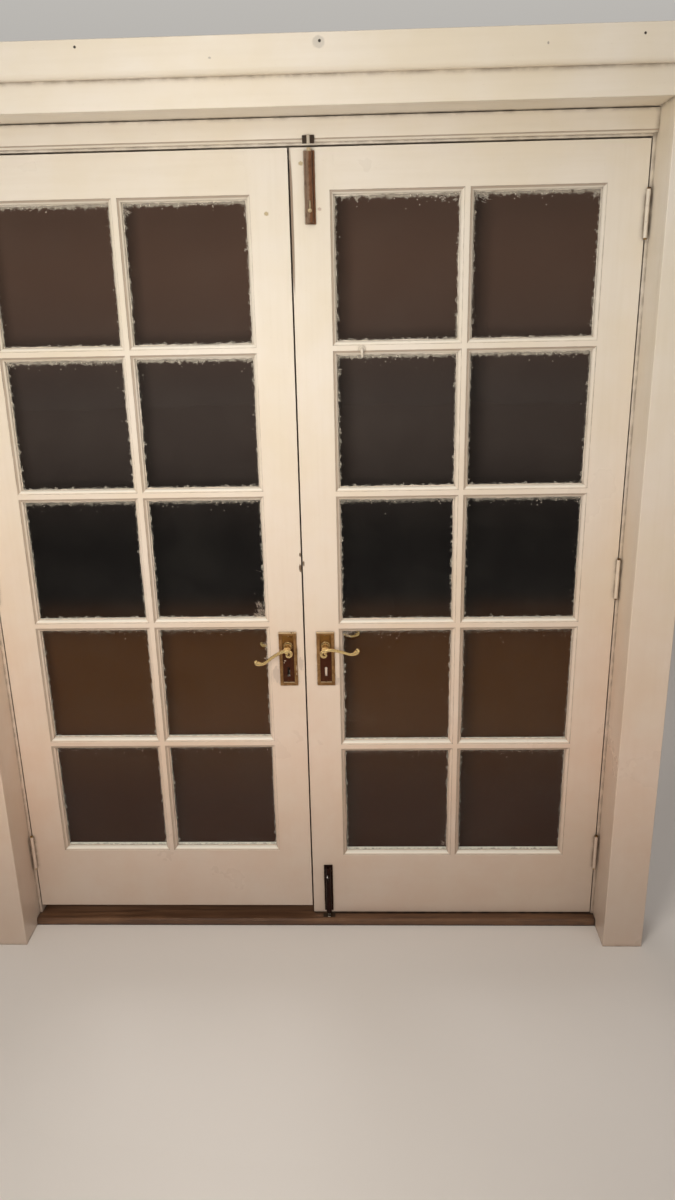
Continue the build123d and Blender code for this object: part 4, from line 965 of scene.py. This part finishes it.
# The small hook on the first cross bar of the right leaf.
# Bent steel wire on a round foot, painted over with the bar.
finish_node("small_hook", painted_metal)

# Floor, backdrop, lamps and camera.
# A plain pale floor and world, and a dark sheet inside the frame behind the leaves that shows
# from the room side only: painted shade for the dark beyond the glass, with bands of painted
# reflection. Four soft lamps stand on the room side and one on the garden side.
floor_paint, _, floor_face, _ = new_finish("floor_paint")
floor_face.inputs["Base Color"].default_value = (0.74, 0.695, 0.65, 1.0)
floor_face.inputs["Roughness"].default_value = 0.9
floor_mesh = bmesh.new()
bmesh.ops.create_grid(floor_mesh, x_segments=1, y_segments=1, size=14.0)
floor = new_object("floor", floor_mesh, floor_paint)
floor.location = (0.0, 0.0, -0.0005)

painted_dark_backdrop, tree, dark, spots = new_finish("painted_dark_backdrop")
sheet_up = place(tree, "SeparateXYZ", {0: spots}).outputs["Z"]
# Bands of painted reflection up the dark sheet, brown and near black.
shade = (0.040, 0.013, 0.006, 1.0)
for low, high, reflection_band in (
    (0.30, 0.60, (0.074, 0.029, 0.009, 1.0)),
    (0.80, 0.96, (0.004, 0.003, 0.003, 1.0)),
    (1.08, 1.42, (0.050, 0.036, 0.032, 1.0)),
    (1.42, 1.80, (0.088, 0.048, 0.034, 1.0)),
):
    shade = tint(tree, between(tree, sheet_up, low, high), shade, reflection_band)
tree.links.new(shade, dark.inputs["Base Color"])
dark.inputs["Roughness"].default_value = 1.0
dark.inputs["Specular IOR Level"].default_value = 0.0
passing = place(tree, "LightPath").outputs
unseen = sums(tree, "MAXIMUM", passing["Is Shadow Ray"], passing["Is Diffuse Ray"])
unseen = sums(tree, "MAXIMUM", place(tree, "NewGeometry").outputs["Backfacing"], unseen)
clear = place(tree, "BsdfTransparent")
one_way = place(tree, "MixShader", {0: unseen, 1: dark.outputs[0], 2: clear.outputs[0]})
tree.links.new(one_way.outputs[0], tree.nodes["Material Output"].inputs["Surface"])
sheet_mesh = bmesh.new()
corners = [(-0.774, 0.104, 0.021), (0.774, 0.104, 0.021), (0.774, 0.104, 1.995), (-0.774, 0.104, 1.995)]
sheet_mesh.faces.new([sheet_mesh.verts.new(corner) for corner in corners])
backdrop = new_object("backdrop", sheet_mesh, painted_dark_backdrop)

world = bpy.data.worlds.new("studio")
bpy.context.scene.world = world
world.use_nodes = True
tree = world.node_tree
seen = place(tree, "LightPath")
seen_ray = sums(tree, "MAXIMUM", seen.outputs["Is Camera Ray"], seen.outputs["Is Glossy Ray"])
seen_ray = sums(tree, "MAXIMUM", seen_ray, seen.outputs["Is Transmission Ray"])
backing = tree.nodes["Background"]
skyward = place(tree, "SeparateXYZ", {0: place(tree, "TexCoord").outputs["Generated"]}).outputs["Z"]
paling = tint(tree, between(tree, skyward, -0.02, 0.32), (0.26, 0.247, 0.232, 1.0), (0.52, 0.50, 0.47, 1.0))
tree.links.new(paling, backing.inputs["Color"])
lit = place(tree, "Background", {"Color": (1.0, 0.93, 0.88, 1.0), "Strength": 0.22})
both = place(tree, "MixShader", {0: seen_ray, 1: lit.outputs[0], 2: backing.outputs[0]})
tree.links.new(both.outputs[0], tree.nodes["World Output"].inputs["Surface"])


def lamp(name, at, towards, wide, high, power, colour, mirrored=True):
    """A soft rectangular lamp that is out of sight, also through the glass."""
    made = bpy.data.lights.new(name, "AREA")
    made.shape = "RECTANGLE"
    made.size = wide
    made.size_y = high
    made.energy = power
    made.color = colour
    hung = bpy.data.objects.new(name, made)
    hung.location = at
    hung.rotation_mode = "QUATERNION"
    hung.rotation_quaternion = (Vector(towards) - Vector(at)).to_track_quat("-Z", "Y")
    hung.visible_camera = False
    hung.visible_glossy = mirrored
    hung.visible_transmission = False
    bpy.context.scene.collection.objects.link(hung)


lamp("ceiling_lamp", (-0.3, -1.5, 2.47), (0.0, 0.0, 1.30), 0.5, 0.4, 2.4, (1.0, 0.96, 0.90))
lamp("overhead", (0.0, -2.4, 4.2), (0.0, -1.2, 0.0), 3.5, 3.5, 34.0, (1.0, 0.96, 0.90), False)
lamp("side_fill", (2.6, -2.2, 1.6), (0.0, 0.0, 1.0), 1.2, 1.2, 5.0, (1.0, 0.93, 0.88))
lamp("room_lamp", (-0.28, -1.6, 1.42), (-0.12, 0.0, 1.30), 0.7, 0.7, 20.0, (1.0, 0.96, 0.90), False)
lamp("garden_fill", (-1.4, 3.2, 2.2), (0.0, 0.0, 1.0), 2.0, 1.6, 44.0, (0.97, 0.98, 1.0), False)

yaw, pitch, roll = math.radians(2.030), math.radians(18.235), math.radians(-1.212)
level = Vector((math.cos(yaw), math.sin(yaw), 0.0))
ahead = Vector((-math.sin(yaw) * math.cos(pitch), math.cos(yaw) * math.cos(pitch), -math.sin(pitch)))
upward = level.cross(ahead)
picture_right = math.cos(roll) * level + math.sin(roll) * upward
picture_up = -math.sin(roll) * level + math.cos(roll) * upward
eye = Vector((0.1641, -2.1625, 1.6780))
view_data = bpy.data.cameras.new("photo_view")
view_data.sensor_width = 36.0
view_data.lens = 26.9
view_data.clip_start = 0.05
photo_view = bpy.data.objects.new("photo_view", view_data)
stance = Matrix((picture_right, picture_up, -ahead)).transposed().to_4x4()
photo_view.matrix_world = Matrix.Translation(eye) @ stance
bpy.context.scene.collection.objects.link(photo_view)
bpy.context.scene.camera = photo_view
bpy.context.scene.view_settings.view_transform = "Standard"
